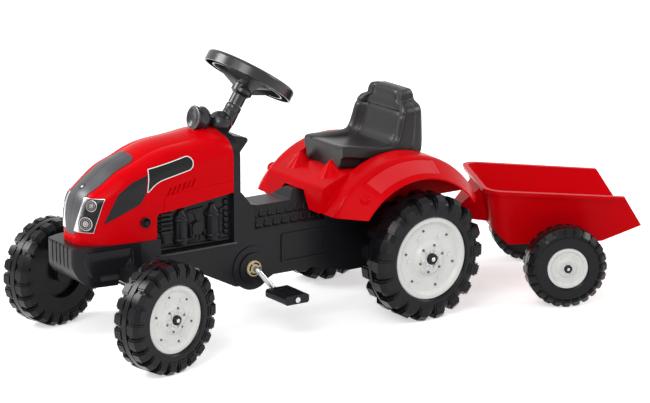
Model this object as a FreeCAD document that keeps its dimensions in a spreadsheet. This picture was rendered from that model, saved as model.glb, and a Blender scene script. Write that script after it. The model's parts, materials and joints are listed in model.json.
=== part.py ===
import FreeCAD, Part
import math
import os
import re
import Sketcher
from types import SimpleNamespace
from FreeCAD import Placement, Rotation, Vector

# A child's pedal tractor that tows a two-wheeled trailer, in millimetres.
# It faces -X, its left side is -Y and +Z is up. The origin is the floor point under the rear axle's middle.
# It stands with the front wheels turned a little and the trailer swung to the left.

sizes = {
    # Layout: axle distances, rest angles and the clearances that every fit uses
    "wheelbase": 627, "steer_rest_angle": 12.5, "trailer_rest_angle": 25.7, "crank_rest_angle": 34,
    "overrun": 20, "fit_gap": 0.05, "free_gap": 0.3, "axle_radius": 5, "shaft_radius": 8,
    # Tread blocks, shared by all tyres
    "lug_side": 3, "lug_root": 1.5, "bolt_count": 6,
    # Front axle, knuckles and tie rod
    "kingpin_y": 150, "boss_low": 150, "boss_high": 193, "beam_low": 154,
    "beam_high": 180, "beam_depth": 28, "knuckle_bend": 13, "flange_radius": 10, "flange_height": 4,
    "arm_length": 48, "arm_level": 121, "arm_thick": 5, "arm_width": 15, "stud_radius": 4,
    "stud_play": 0.4, "stud_rise": 4, "tie_thick": 5, "tie_width": 16, "tongue_width": 24,
    "kingpin_cap_radius": 9, "kingpin_cap_height": 9, "kingpin_cap_round": 4,
    # Steering column, wheel and rod
    "column_setback": 333, "column_z": 505, "column_angle": 33, "ring_radius": 84.5, "ring_tube": 10.5,
    "ring_low": 13, "ring_wall": 3.5, "ring_round": 7,
    "hub_radius": 22, "hub_low": 46, "hub_high": 20, "hub_round": 6, "spoke_width": 26, "spoke_thick": 11,
    "spoke_count": 3, "sleeve_radius": 15, "sleeve_low": 66, "wheel_cap_radius": 15, "wheel_cap_height": 4,
    "rod_radius": 5, "rod_length": 446, "rod_bend": 9, "rod_pin": 27, "pin_play": 1.8, "rod_hole_gap": 2,
    "collar_radius": 17, "collar_bead": 2.5, "collar_bead_height": 5, "collar_low": 124, "ball_radius": 25,
    "ball_drop": 110,
    # Dash pod
    "pod_radius": 23, "pod_length": 42, "pod_x": 403, "pod_z": 430, "pod_angle": 17,
    "pod_ring": 3, "pod_ring_width": 8,
    # Hood
    "hood_front": 708, "hood_rear": 384, "hood_half": 80, "hood_top": 412, "deck_z": 225, "hood_wall": 3,
    "step_x": 559, "step_z": 274, "hood_rear_low": 297, "step_round": 8, "film": 0.6, "film_gap": 0.2,
    "vent_count": 6, "vent_x": 537, "vent_z": 308, "vent_pitch": 11, "vent_width": 5,
    "vent_height": 15, "vent_lean": 7, "vent_rise": 2.2, "hood_hole_radius": 10, "hood_hole_x": 584,
    "hood_hole_z": 262, "belt_step": 1.5,
    "belt_front": 539, "belt_low_front": 553, "belt_front_z": 309, "belt_rear_z": 320,
    # Dash console
    "dash_depth": 16, "dash_low": 291, "lip_reach": 40, "lip_top": 401, "lip_drop": 10, "lip_low": 346,
    "lip_half": 52, "lip_round": 6,
    # Chassis
    "chassis_front": 730, "chassis_half": 80, "chassis_wall": 3.2, "nose_half": 52, "nose_round": 14,
    "cheek_x": 700, "cheek_half": 66, "cheek_round": 60, "taper_x": 596, "bumper_low": 145,
    "bumper_round": 48, "edge_round": 4, "notch_gap": 2, "belly_low": 145, "belly_rear": 470,
    "belly_round": 30, "bulge_radius": 34, "bulge_ahead": 38, "bulge_behind": 25, "bulge_round": 24,
    "bulge_rear": 50, "waist_low": 112, "waist_rear": 190, "waist_round": 16, "tail_low": 92,
    "tail_front": 110, "tail_rear": 72, "tail_round": 26, "tail_top": 232, "pedestal_top": 296.5,
    "pedestal_rear": 48, "chain_slot_front": 328, "chain_slot_rear": 124, "chain_slot_gap": 4,
    "pedestal_front": 122, "pedestal_round": 8, "saddle_rear": 204, "saddle_peak": 262, "ramp_front": 170,
    "saddle_z": 246, "saddle_low_rear": 222, "saddle_low_front": 300, "saddle_round": 26, "scuttle_x": 366,
    "scuttle_low_x": 336, "scuttle_low_z": 254, "block_top": 312, "bay_front": 551, "bay_low": 192,
    "bay_depth": 12, "slope_low": 208, "slope_half": 34, "groove_count": 5, "groove_width": 4,
    "groove_depth": 2, "groove_pitch": 15, "groove_low": 168, "frame_front": 274, "frame_rear": 165,
    "frame_low": 132, "frame_high": 193, "frame_width": 5, "frame_height": 2.5, "frame_round": 6,
    "boss_ring": 45, "boss_ring_height": 2.5, "boss_plate": 31, "boss_plate_height": 6,
    "canister_radius": 15, "canister_height": 58, "canister_low": 205, "canister_front": 500,
    "canister_rear": 428, "pulley_radius": 13, "pulley_height": 9, "pulley_x": 464,
    "pulley_z": 232, "pipe_radius": 4, "pipe_low": 199, "pipe_front": 546, "pipe_rear": 392,
    "stack_radius": 7, "stack_x": 397, "stack_pitch": 12, "stack_count": 6, "fin_count": 5,
    "fin_pitch": 9, "fin_thick": 4, "fin_depth": 8, "fin_low": 232, "fin_front": 548, "fin_rear": 522,
    # Crank, pedals, sprockets and chain
    "chain_pitch": 12.7, "chain_span_count": 27, "sprocket_count": 12, "crank_rise": 4, "chain_y": 26,
    "sprocket_thick": 3, "tooth_root": 3.4, "tooth_tip": 1.4, "tooth_height": 3.4, "roller_radius": 3.6,
    "plate_thick": 1.2, "plate_half": 4.6, "plate_gap": 2.2, "crank_radius": 5.5, "crank_arm": 50,
    "arm_in_y": 101, "arm_out_y": 119, "crank_bend": 13, "pin_end_y": 204,
    "bush_flange": 16, "bush_height": 5, "pedal_length": 72, "pedal_width": 56, "pedal_thick": 18,
    "pedal_round": 6, "pedal_y": 165, "pedal_groove_count": 5, "pedal_groove_width": 4,
    "pedal_groove_depth": 2, "pedal_groove_pitch": 13, "pedal_rib": 7,
    # Hitch
    "hitch_x": 140, "hitch_z": 152, "bracket_thick": 5, "bracket_half": 20, "bracket_foot": 20,
    "bracket_lip": 18, "hitch_pin_radius": 6, "hitch_head_radius": 10,
    "hitch_head_height": 6,
    # Rear body
    "body_half": 100, "body_wall": 3.5, "body_front": 196, "body_low": 228, "body_ledge_x": 187,
    "body_ledge": 277, "body_ledge_round": 10, "body_slope_x": 156, "body_slope": 290,
    "body_slope_round": 20, "body_rear_x": 62, "body_rear_drop": 27, "body_rear_reach": 34,
    "body_rear": 108, "body_rear_round": 24, "fender_shift": 11, "fender_radius": 202,
    "fender_edge_radius": 165, "fender_edge_y": 197, "fender_shoulder_y": 143, "fender_round": 26,
    "fender_low": 226, "fender_web": 110, "fender_drop": 2, "peak_radius": 38, "peak_tip": 5,
    "peak_height": 41, "peak_low": 276, "peak_x": 136, "peak_y": 54,
    "strip_near": 152, "strip_far": 187, "strip_depth": 1.3, "strip_front_angle": 37, "strip_rear_angle": 15,
    "bump_radius": 13, "bump_angle": 43, "bump_sink": 8,
    # Seat
    "seat_half": 94, "seat_front_half": 72, "seat_front": 118, "seat_front_top": 346, "seat_side_x": 62,
    "seat_hip_x": 6, "seat_hip": 336, "seat_top": 446, "seat_top_front": 38, "seat_top_rear": 74,
    "seat_rear": 68, "seat_wall": 4, "seat_round": 9, "seat_hip_round": 30, "seat_rim": 18, "seat_recess": 8,
    "shoulder_z": 419, "shoulder_half": 48, "shoulder_round": 12, "seat_crown": 24,
    # Trailer
    "tub_front": 106, "tub_front_top": 235, "tub_rear_top": 210, "tub_rear_top_x": 398, "tub_rear": 440,
    "tub_lip": 143, "tub_low": 110, "tub_low_front": 132, "tub_low_rear": 358, "tub_low_half": 100,
    "tub_top_half": 128, "tub_wall": 4, "tub_corner": 34, "tub_round": 26, "tub_flange": 7,
    "tub_flange_height": 8, "drawbar_half": 21, "drawbar_neck": 58, "drawbar_root_half": 60,
    "drawbar_height": 17, "drawbar_root_top": 219, "drawbar_root_low": 150, "cart_axle_x": 260.7,
    "carrier_y": 72, "carrier_thick": 14, "carrier_radius": 14, "carrier_foot": 24,
}

# Each kind of wheel has its own copy of these sizes
wheel_sizes = {
    "rear": {"radius": 130, "width": 78, "track": 182, "disc_radius": 85.4, "lug_height": 7,
             "lug_count": 18, "lug_angle": 9, "lug_drop": 27, "lug_middle": 7, "lug_bevel": 10,
             "rib_half": 4, "bead": 5,
             "shoulder": 22, "wall": 3.6, "recess": 19, "dish_radius": 62, "dish_depth": 18,
             "hub_radius": 20, "disc_lip": 12, "disc_lip_width": 9, "disc_slope": 6, "disc_web": 5,
             "disc_hub": 30, "bolt_circle": 50, "bolt_inner": 21, "bolt_radius": 4.5, "bolt_height": 3,
             "cap_radius": 12, "cap_height": 9, "cap_round": 5},
    "front": {"radius": 108.4, "width": 70, "track": 203, "disc_radius": 67.2, "lug_height": 4.2,
              "lug_count": 22, "lug_angle": 9, "lug_drop": 22, "lug_middle": 9, "lug_bevel": 9,
              "rib_half": 6, "bead": 5,
              "shoulder": 19, "wall": 3.6, "recess": 17, "dish_radius": 50, "dish_depth": 16,
              "hub_radius": 18, "disc_lip": 10, "disc_lip_width": 8, "disc_slope": 5, "disc_web": 5,
              "disc_hub": 25, "bolt_circle": 40, "bolt_inner": 17.5, "bolt_radius": 3.6,
              "bolt_height": 3, "cap_radius": 10, "cap_height": 8, "cap_round": 4},
    "cart": {"radius": 83.8, "width": 64, "track": 180.3, "disc_radius": 42.7, "lug_height": 1.8,
             "lug_count": 24, "lug_angle": 8, "lug_drop": 13, "lug_middle": 13, "lug_bevel": 11,
             "rib_half": 9, "bead": 6,
             "shoulder": 21, "wall": 3.6, "recess": 13, "dish_radius": 34, "dish_depth": 14,
             "hub_radius": 16, "disc_lip": 8, "disc_lip_width": 6, "disc_slope": 4, "disc_web": 4,
             "disc_hub": 17, "bolt_circle": 26, "bolt_inner": 12.5, "bolt_radius": 2.4,
             "bolt_height": 2, "cap_radius": 8.5, "cap_height": 7, "cap_round": 3},
}
for kind, table in wheel_sizes.items():
    for name, value in table.items():
        sizes[f"{kind}_{name}"] = value

doc = FreeCAD.newDocument("PedalTractor")
sheet = doc.addObject("Spreadsheet::Sheet", "Sizes")
for row, (name, value) in enumerate(sizes.items(), 1):
    sheet.set(f"A{row}", name)
    sheet.set(f"B{row}", str(value))
    sheet.setAlias(f"B{row}", name)
doc.recompute()
size = SimpleNamespace(**{name: float(sheet.get(name)) for name in sizes})

x_way, y_way, z_way = Vector(1, 0, 0), Vector(0, 1, 0), Vector(0, 0, 1)
pieces = {}


# Expressions: worked out at once, or bound to the sheet so that a feature follows its cells

def number(expression):
    return float(sheet.evalExpression(expression))


def bound(expression):
    return re.sub(r"[a-z]\w*", lambda word: f"Sizes.{word[0]}" if word[0] in sizes else word[0], expression)


# Rounded corners: where the arc of each corner begins, passes and ends

def corner_arcs(points, radii):
    arcs = []
    for i, (point, radius) in enumerate(zip(points, radii)):
        if radius == 0:
            arcs.append(None)
            continue
        before = (points[i - 1] - point).normalize()
        after = (points[(i + 1) % len(points)] - point).normalize()
        half = before.getAngle(after) / 2
        centre = point + (before + after).normalize() * (radius / math.sin(half))
        reach = radius / math.tan(half)
        middle = centre + (point - centre).normalize() * radius
        arcs.append(SimpleNamespace(start=point + before * reach, middle=middle, end=point + after * reach,
                                    centre=centre, left=before.cross(after).z < 0))
    return arcs


# Sketch tools: a body's sketch on one of its planes, outlines with rounded corners, and circles

def origin_part(body, role):
    return next(part for part in body.Origin.OriginFeatures if part.Role == role)


def sketch_on(body, role, name, lift="0"):
    sketch = body.newObject("Sketcher::SketchObject", name)
    sketch.AttachmentSupport = [(origin_part(body, role), "")]
    sketch.MapMode = "FlatFace"
    sketch.setExpression("AttachmentOffset.Base.z", bound(lift))
    return sketch


def dimension(sketch, constraint, expression):
    index = sketch.addConstraint(constraint)
    sketch.setExpression(f"Constraints[{index}]", bound(expression))


def pin_point(sketch, shape, end, x, y):
    dimension(sketch, Sketcher.Constraint("DistanceX", -1, 1, shape, end, number(x)), x)
    dimension(sketch, Sketcher.Constraint("DistanceY", -1, 1, shape, end, number(y)), y)


def outline(sketch, corners, closed=True):
    points = [Vector(number(corner[0]), number(corner[1]), 0) for corner in corners]
    radii = [number(corner[2]) if len(corner) > 2 else 0 for corner in corners]
    arcs = corner_arcs(points, radii)
    count = len(points)
    line_at, arc_at = {}, {}
    for i in range(count if closed else count - 1):
        j = (i + 1) % count
        start = arcs[i].end if arcs[i] else points[i]
        end = arcs[j].start if arcs[j] else points[j]
        line_at[i] = sketch.addGeometry(Part.LineSegment(start, end), False)
    for i, arc in enumerate(arcs):
        first, last = line_at.get((i - 1) % count), line_at.get(i)
        if arc is None:
            if first is not None and last is not None:
                sketch.addConstraint(Sketcher.Constraint("Coincident", first, 2, last, 1))
            pin_point(sketch, *((last, 1) if last is not None else (first, 2)), corners[i][0], corners[i][1])
            continue
        ends = (arc.start, arc.end) if arc.left else (arc.end, arc.start)
        angles = [math.atan2(end.y - arc.centre.y, end.x - arc.centre.x) for end in ends]
        circle_shape = Part.Circle(arc.centre, z_way, radii[i])
        arc_at[i] = sketch.addGeometry(Part.ArcOfCircle(circle_shape, *angles), False)
        enter, leave = (1, 2) if arc.left else (2, 1)
        sketch.addConstraint(Sketcher.Constraint("Tangent", first, 2, arc_at[i], enter))
        sketch.addConstraint(Sketcher.Constraint("Tangent", arc_at[i], leave, last, 1))
        dimension(sketch, Sketcher.Constraint("Radius", arc_at[i], radii[i]), corners[i][2])
        corner = sketch.addGeometry(Part.Point(points[i]), True)
        sketch.addConstraint(Sketcher.Constraint("PointOnObject", corner, 1, first))
        sketch.addConstraint(Sketcher.Constraint("PointOnObject", corner, 1, last))
        pin_point(sketch, corner, 1, corners[i][0], corners[i][1])


def circle(sketch, x, y, radius):
    shape = Part.Circle(Vector(number(x), number(y), 0), z_way, number(radius))
    index = sketch.addGeometry(shape, False)
    pin_point(sketch, index, 3, x, y)
    dimension(sketch, Sketcher.Constraint("Radius", index, number(radius)), radius)


# Feature tools: each adds one feature to a body and makes it the body's tip

def new_body(label):
    body = doc.addObject("PartDesign::Body", label)
    body.Label = label
    pieces[label] = body
    return body


def feature(body, kind, sketch):
    made = body.newObject(f"PartDesign::{kind}", f"{body.Label}_{kind}")
    made.Profile = sketch
    body.Tip = made
    return made


def pad(body, sketch, length, both=False, back=False):
    made = feature(body, "Pad", sketch)
    made.SideType = "Symmetric" if both else "One side"
    made.Reversed = back
    made.setExpression("Length", bound(length))
    return made


def pocket(body, sketch, length, both=False, back=False):
    made = feature(body, "Pocket", sketch)
    made.SideType = "Symmetric" if both else "One side"
    made.Reversed = back
    made.setExpression("Length", bound(length))
    return made


def revolve(body, sketch, axis="V_Axis", angle="360"):
    made = feature(body, "Revolution", sketch)
    made.ReferenceAxis = (sketch, [axis])
    made.setExpression("Angle", bound(angle))
    return made


def sweep(body, section, path):
    made = feature(body, "AdditivePipe", section)
    made.Spine = (path, [])
    return made


def ring_of(body, originals, role, count):
    made = body.newObject("PartDesign::PolarPattern", f"{body.Label}_ring")
    made.Originals = originals
    made.Axis = (origin_part(body, role), [""])
    made.Angle = 360
    made.setExpression("Occurrences", bound(count))
    body.Tip = made
    return made


def row_of(body, originals, role, pitch, count):
    made = body.newObject("PartDesign::LinearPattern", f"{body.Label}_row")
    made.Originals = originals
    made.Direction = (origin_part(body, role), [""])
    made.setExpression("Length", bound(f"({pitch}) * ({count} - 1)"))
    made.setExpression("Occurrences", bound(count))
    body.Tip = made
    return made


def twin(label, original, placement):
    copy = doc.addObject("Part::Feature", label)
    copy.Label = label
    copy.Shape = original.Tip.Shape.copy()
    copy.Placement = placement
    pieces[label] = copy


def solid(label, shape, placement=Placement()):
    made = doc.addObject("Part::Feature", label)
    made.Label = label
    made.Shape = shape
    made.Placement = placement
    pieces[label] = made
    return made


# Shape tools for the moulded shells: prisms over rounded outlines in the side, plan and end views

def side_view(x, z):
    return Vector(x, 0, z)


def plan_view(x, y):
    return Vector(x, y, 0)


def end_view(y, z):
    return Vector(0, y, z)


def outline_face(corners, view):
    flat = [Vector(corner[0], corner[1], 0) for corner in corners]
    arcs = corner_arcs(flat, [corner[2] if len(corner) > 2 else 0 for corner in corners])
    edges = []
    for i, arc in enumerate(arcs):
        j = (i + 1) % len(arcs)
        if arc:
            bend = [view(point.x, point.y) for point in (arc.start, arc.middle, arc.end)]
            edges.append(Part.Arc(*bend).toShape())
        start = arc.end if arc else flat[i]
        end = arcs[j].start if arcs[j] else flat[j]
        edges.append(Part.makeLine(view(start.x, start.y), view(end.x, end.y)))
    return Part.Face(Part.Wire(edges))


def prism(corners, view, way, low, high):
    face = outline_face(corners, view)
    return moved(face, way * low).extrude(way * (high - low))


def moved(shape, way):
    copy = shape.copy()
    copy.translate(way)
    return copy


def mirrored(shape):
    return shape.mirror(Vector(0, 0, 0), y_way)


def rod(radius, start, end):
    return Part.makeCylinder(radius, (end - start).Length, start, end - start)


def box(low, high):
    return Part.makeBox(high.x - low.x, high.y - low.y, high.z - low.z, low)


# Where the moving pieces stand

crank_span = size.chain_pitch * size.chain_span_count
crank_x = -math.sqrt(crank_span ** 2 - size.crank_rise ** 2)
crank_z = size.rear_radius + size.crank_rise
chain_tilt = math.degrees(math.asin(size.crank_rise / crank_span))
steer_turn = Rotation(z_way, size.steer_rest_angle)
column_base = Vector(size.column_setback - size.wheelbase, 0, size.column_z)
column_tilt = Rotation(y_way, size.column_angle)
column_way = column_tilt.multVec(z_way)
steering_place = Placement(column_base, column_tilt * steer_turn)
crank_place = Placement(Vector(crank_x, 0, crank_z), Rotation(y_way, -size.crank_rest_angle))
trailer_place = Placement(Vector(size.hitch_x, 0, 0), Rotation(z_way, -size.trailer_rest_angle))
outward = {"left": Rotation(z_way, 180), "right": Rotation()}
sign = {"left": -1, "right": 1}


def knuckle_place(side):
    return Placement(Vector(-size.wheelbase, sign[side] * size.kingpin_y, 0), steer_turn)


def wheel_place(kind, side):
    track = sign[side] * getattr(size, f"{kind}_track")
    height = getattr(size, f"{kind}_radius")
    if kind == "front":
        base = Vector(0, track - sign[side] * size.kingpin_y, height)
        return knuckle_place(side) * Placement(base, outward[side])
    if kind == "cart":
        return trailer_place * Placement(Vector(size.cart_axle_x, track, height), outward[side])
    return Placement(Vector(0, track, height), outward[side])


# How much of an edge its rounding takes, and where a spoke meets the hub, in spoke thicknesses
end_round_share = 0.9
soft_round_share = 0.2
cap_round_share = 0.6
head_round_share = 0.33
spoke_low_share = 1.4
spoke_high_share = 0.2

# A tread block stands on a foot that is lower, longer round the tyre and reaches further down its side
lug_foot_shares = {"rise": 0.5, "angle": 1.4, "drop": 1.2}
lug_top_shares = {"rise": 1, "angle": 1, "drop": 1}
rib_rise_share = 0.85


# Wheels: a hollow moulded tyre with staggered tread blocks, a stepped disc with bolt heads, and a cap.
# A wheel lies on its Y axis about its own middle, with its outer face towards +Y.

def tyre(label, kind):
    body = new_body(label)
    half = f"{kind}_width / 2"
    skin = f"({half} - lug_side)"
    tread = f"({kind}_radius - {kind}_lug_height)"
    floor = f"({half} - {kind}_recess)"
    bore = "axle_radius + fit_gap"
    wall = f"{kind}_wall"
    section = sketch_on(body, "XY_Plane", f"{label}_section")
    outline(section, [
        (bore, f"-{half}"),
        (f"{kind}_hub_radius", f"-{half}"),
        (f"{kind}_hub_radius", f"-{half} + {kind}_dish_depth"),
        (f"{kind}_dish_radius", f"-{half} + {kind}_dish_depth"),
        (f"{kind}_dish_radius", f"-{skin}"),
        (tread, f"-{skin}", f"{kind}_shoulder"),
        (tread, skin, f"{kind}_shoulder"),
        (f"{kind}_disc_radius", skin, f"{kind}_bead"),
        (f"{kind}_disc_radius", floor),
        (bore, floor)])
    inner_bend = f"{kind}_shoulder - {wall}"
    outline(section, [
        (f"{kind}_hub_radius + {wall}", f"-{half} + {kind}_dish_depth + {wall}"),
        (f"{kind}_dish_radius + {wall}", f"-{half} + {kind}_dish_depth + {wall}"),
        (f"{kind}_dish_radius + {wall}", f"-{skin} + {wall}"),
        (f"{tread} - {wall}", f"-{skin} + {wall}", inner_bend),
        (f"{tread} - {wall}", f"{skin} - {wall}", inner_bend),
        (f"{kind}_disc_radius + {wall}", f"{skin} - {wall}"),
        (f"{kind}_disc_radius + {wall}", f"{floor} - {wall}"),
        (f"{kind}_hub_radius + {wall}", f"{floor} - {wall}")])
    revolve(body, section)
    rib = sketch_on(body, "XY_Plane", f"{label}_rib")
    crest = f"{tread} + {kind}_lug_height * {rib_rise_share}"
    outline(rib, [
        (f"{tread} - lug_root", f"-{kind}_rib_half"), (crest, f"-{kind}_rib_half"),
        (crest, f"{kind}_rib_half"), (f"{tread} - lug_root", f"{kind}_rib_half")])
    revolve(body, rib)
    lugs = []
    for side, way in (("outer", 1), ("inner", -1)):
        for level, shares in (("foot", lug_foot_shares), ("top", lug_top_shares)):
            block = sketch_on(body, "XY_Plane", f"{label}_{side}_lug_{level}")
            if way < 0:
                block.AttachmentOffset = Placement(Vector(), Rotation(y_way, 1))
                block.setExpression("AttachmentOffset.Rotation.Angle", bound(f"180 / {kind}_lug_count"))
            top = f"({tread} + {kind}_lug_height * {shares['rise']})"
            out = f"({skin} + lug_side * {shares['rise']})"
            low = f"({kind}_radius - {kind}_lug_drop * {shares['drop']})"
            bend = f"({kind}_shoulder - lug_root) * cos(45)"
            corners = [
                (f"{tread} - lug_root", f"{kind}_lug_middle"),
                (top, f"{kind}_lug_middle"),
                (top, f"{out} - {kind}_lug_bevel"),
                (f"{top} - {kind}_lug_bevel", out),
                (low, out),
                (low, f"{skin} - lug_root"),
                (f"{tread} - {kind}_shoulder + {bend}", f"{skin} - {kind}_shoulder + {bend}"),
                (f"{tread} - lug_root", f"{skin} - {kind}_shoulder")]
            if way < 0:
                corners = [(r, f"-({y})") for r, y in reversed(corners)]
            outline(block, corners)
            lug = revolve(body, block, angle=f"{kind}_lug_angle * {shares['angle']}")
            lug.Midplane = True
            lugs.append(lug)
    ring_of(body, lugs, "Y_Axis", f"{kind}_lug_count")
    return body


def disc(label, kind):
    body = new_body(label)
    floor = f"({kind}_width / 2 - {kind}_recess)"
    rim = f"({kind}_disc_radius - free_gap)"
    bore = "axle_radius + fit_gap"
    section = sketch_on(body, "XY_Plane", f"{label}_section")
    soft = f"{kind}_disc_lip * {soft_round_share}"
    outline(section, [
        (bore, floor),
        (rim, floor),
        (rim, f"{floor} + {kind}_disc_lip", soft),
        (f"{rim} - {kind}_disc_lip_width", f"{floor} + {kind}_disc_lip", soft),
        (f"{rim} - {kind}_disc_lip_width - {kind}_disc_slope", f"{floor} + {kind}_disc_web", soft),
        (f"{kind}_disc_hub + {kind}_disc_slope", f"{floor} + {kind}_disc_web", soft),
        (f"{kind}_disc_hub", f"{floor} + {kind}_disc_lip", soft),
        (bore, f"{floor} + {kind}_disc_lip")])
    revolve(body, section)
    bolts = []
    for place, level in (("circle", "disc_web"), ("inner", "disc_lip")):
        lift = f"-({floor} + {kind}_{level} - {kind}_bolt_height)"
        heads = sketch_on(body, "XZ_Plane", f"{label}_{place}_bolt", lift)
        circle(heads, f"{kind}_bolt_{place}", "0", f"{kind}_bolt_radius")
        bolts.append(pad(body, heads, f"2 * {kind}_bolt_height", back=True))
    ring_of(body, bolts, "Y_Axis", "bolt_count")
    return body


def hub_cap(label, kind):
    body = new_body(label)
    base = f"({kind}_width / 2 - {kind}_recess + {kind}_disc_lip)"
    section = sketch_on(body, "XY_Plane", f"{label}_section")
    outline(section, [
        ("0", base),
        (f"{kind}_cap_radius", base),
        (f"{kind}_cap_radius", f"{base} + {kind}_cap_height", f"{kind}_cap_round"),
        ("0", f"{base} + {kind}_cap_height")])
    revolve(body, section)
    return body


def wheels(kind, names):
    for part, make in (("tyre", tyre), ("disc", disc), ("cap", hub_cap)):
        first = make(f"{names['left']}_{part}", kind)
        doc.recompute()
        twin(f"{names['right']}_{part}", first, wheel_place(kind, "right"))
        first.Placement = wheel_place(kind, "left")


# Where an axle of a wheel ends, just under the cap, and where its thick middle meets the hubs

def axle_end(kind):
    return f"({kind}_track + {kind}_width / 2 - {kind}_recess + {kind}_disc_lip - free_gap)"


def stepped_axle(label, kind, placement):
    body = new_body(label)
    section = sketch_on(body, "XY_Plane", f"{label}_section")
    shoulder = f"({kind}_track - {kind}_width / 2 - free_gap)"
    end = axle_end(kind)
    outline(section, [
        ("0", f"-{end}"), ("axle_radius", f"-{end}"), ("axle_radius", f"-{shoulder}"),
        ("shaft_radius", f"-{shoulder}"), ("shaft_radius", shoulder), ("axle_radius", shoulder),
        ("axle_radius", end), ("0", end)])
    revolve(body, section)
    body.Placement = placement


# Front end: beam with a boss at each end, bent knuckles with a steering arm, and the tie rod

def front_axle():
    body = new_body("front_axle")
    beam = sketch_on(body, "XY_Plane", "front_axle_plan", "beam_low")
    outline(beam, [
        ("-beam_depth / 2", "-kingpin_y"), ("beam_depth / 2", "-kingpin_y"),
        ("beam_depth / 2", "kingpin_y"), ("-beam_depth / 2", "kingpin_y")])
    pad(body, beam, "beam_high - beam_low")
    for side, way in sign.items():
        boss = sketch_on(body, "XY_Plane", f"front_axle_{side}_boss", "boss_low")
        circle(boss, "0", f"{way} * kingpin_y", "beam_depth / 2 + fit_gap")
        pad(body, boss, "boss_high - boss_low")
    bores = sketch_on(body, "XY_Plane", "front_axle_bores", "boss_low - overrun")
    for way in sign.values():
        circle(bores, "0", f"{way} * kingpin_y", "axle_radius + fit_gap")
    pocket(body, bores, "boss_high - boss_low + 2 * overrun", back=True)
    body.Placement = Placement(Vector(-size.wheelbase, 0, 0), Rotation())


def knuckle(side):
    way = sign[side]
    label = f"{side}_knuckle"
    body = new_body(label)
    path = sketch_on(body, "YZ_Plane", f"{label}_path")
    top = "boss_high + kingpin_cap_height / 2"
    outline(path, [
        ("0", top), ("0", "front_radius", "knuckle_bend"),
        (f"{way} * ({axle_end('front')} - kingpin_y)", "front_radius")], closed=False)
    section = sketch_on(body, "XY_Plane", f"{label}_section", top)
    circle(section, "0", "0", "axle_radius")
    sweep(body, section, path)
    flange = sketch_on(body, "XY_Plane", f"{label}_flange", "boss_low - free_gap")
    circle(flange, "0", "0", "flange_radius")
    pad(body, flange, "flange_height", back=True)
    arm = sketch_on(body, "XY_Plane", f"{label}_arm", "arm_level")
    edge = "arm_width / 2"
    bend = f"{edge} * {end_round_share}"
    outline(arm, [
        (f"-{edge}", f"-{edge}", bend), (f"arm_length + {edge}", f"-{edge}", bend),
        (f"arm_length + {edge}", edge, bend), (f"-{edge}", edge, bend)])
    pad(body, arm, "arm_thick")
    eye = sketch_on(body, "XY_Plane", f"{label}_eye", "arm_level - overrun")
    play = "fit_gap" if side == "left" else "stud_play"
    circle(eye, "arm_length", "0", f"stud_radius + {play}")
    pocket(body, eye, "arm_thick + 2 * overrun", back=True)
    body.Placement = knuckle_place(side)


def kingpin_cap(side):
    label = f"{side}_kingpin_cap"
    body = new_body(label)
    section = sketch_on(body, "XZ_Plane", f"{label}_section")
    low = "boss_high + free_gap"
    rod_top = "boss_high + kingpin_cap_height / 2"
    outline(section, [
        ("axle_radius", low), ("kingpin_cap_radius", low),
        ("kingpin_cap_radius", f"{low} + kingpin_cap_height", "kingpin_cap_round"),
        ("0", f"{low} + kingpin_cap_height"), ("0", rod_top), ("axle_radius", rod_top)])
    revolve(body, section)
    body.Placement = knuckle_place(side)


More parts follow.
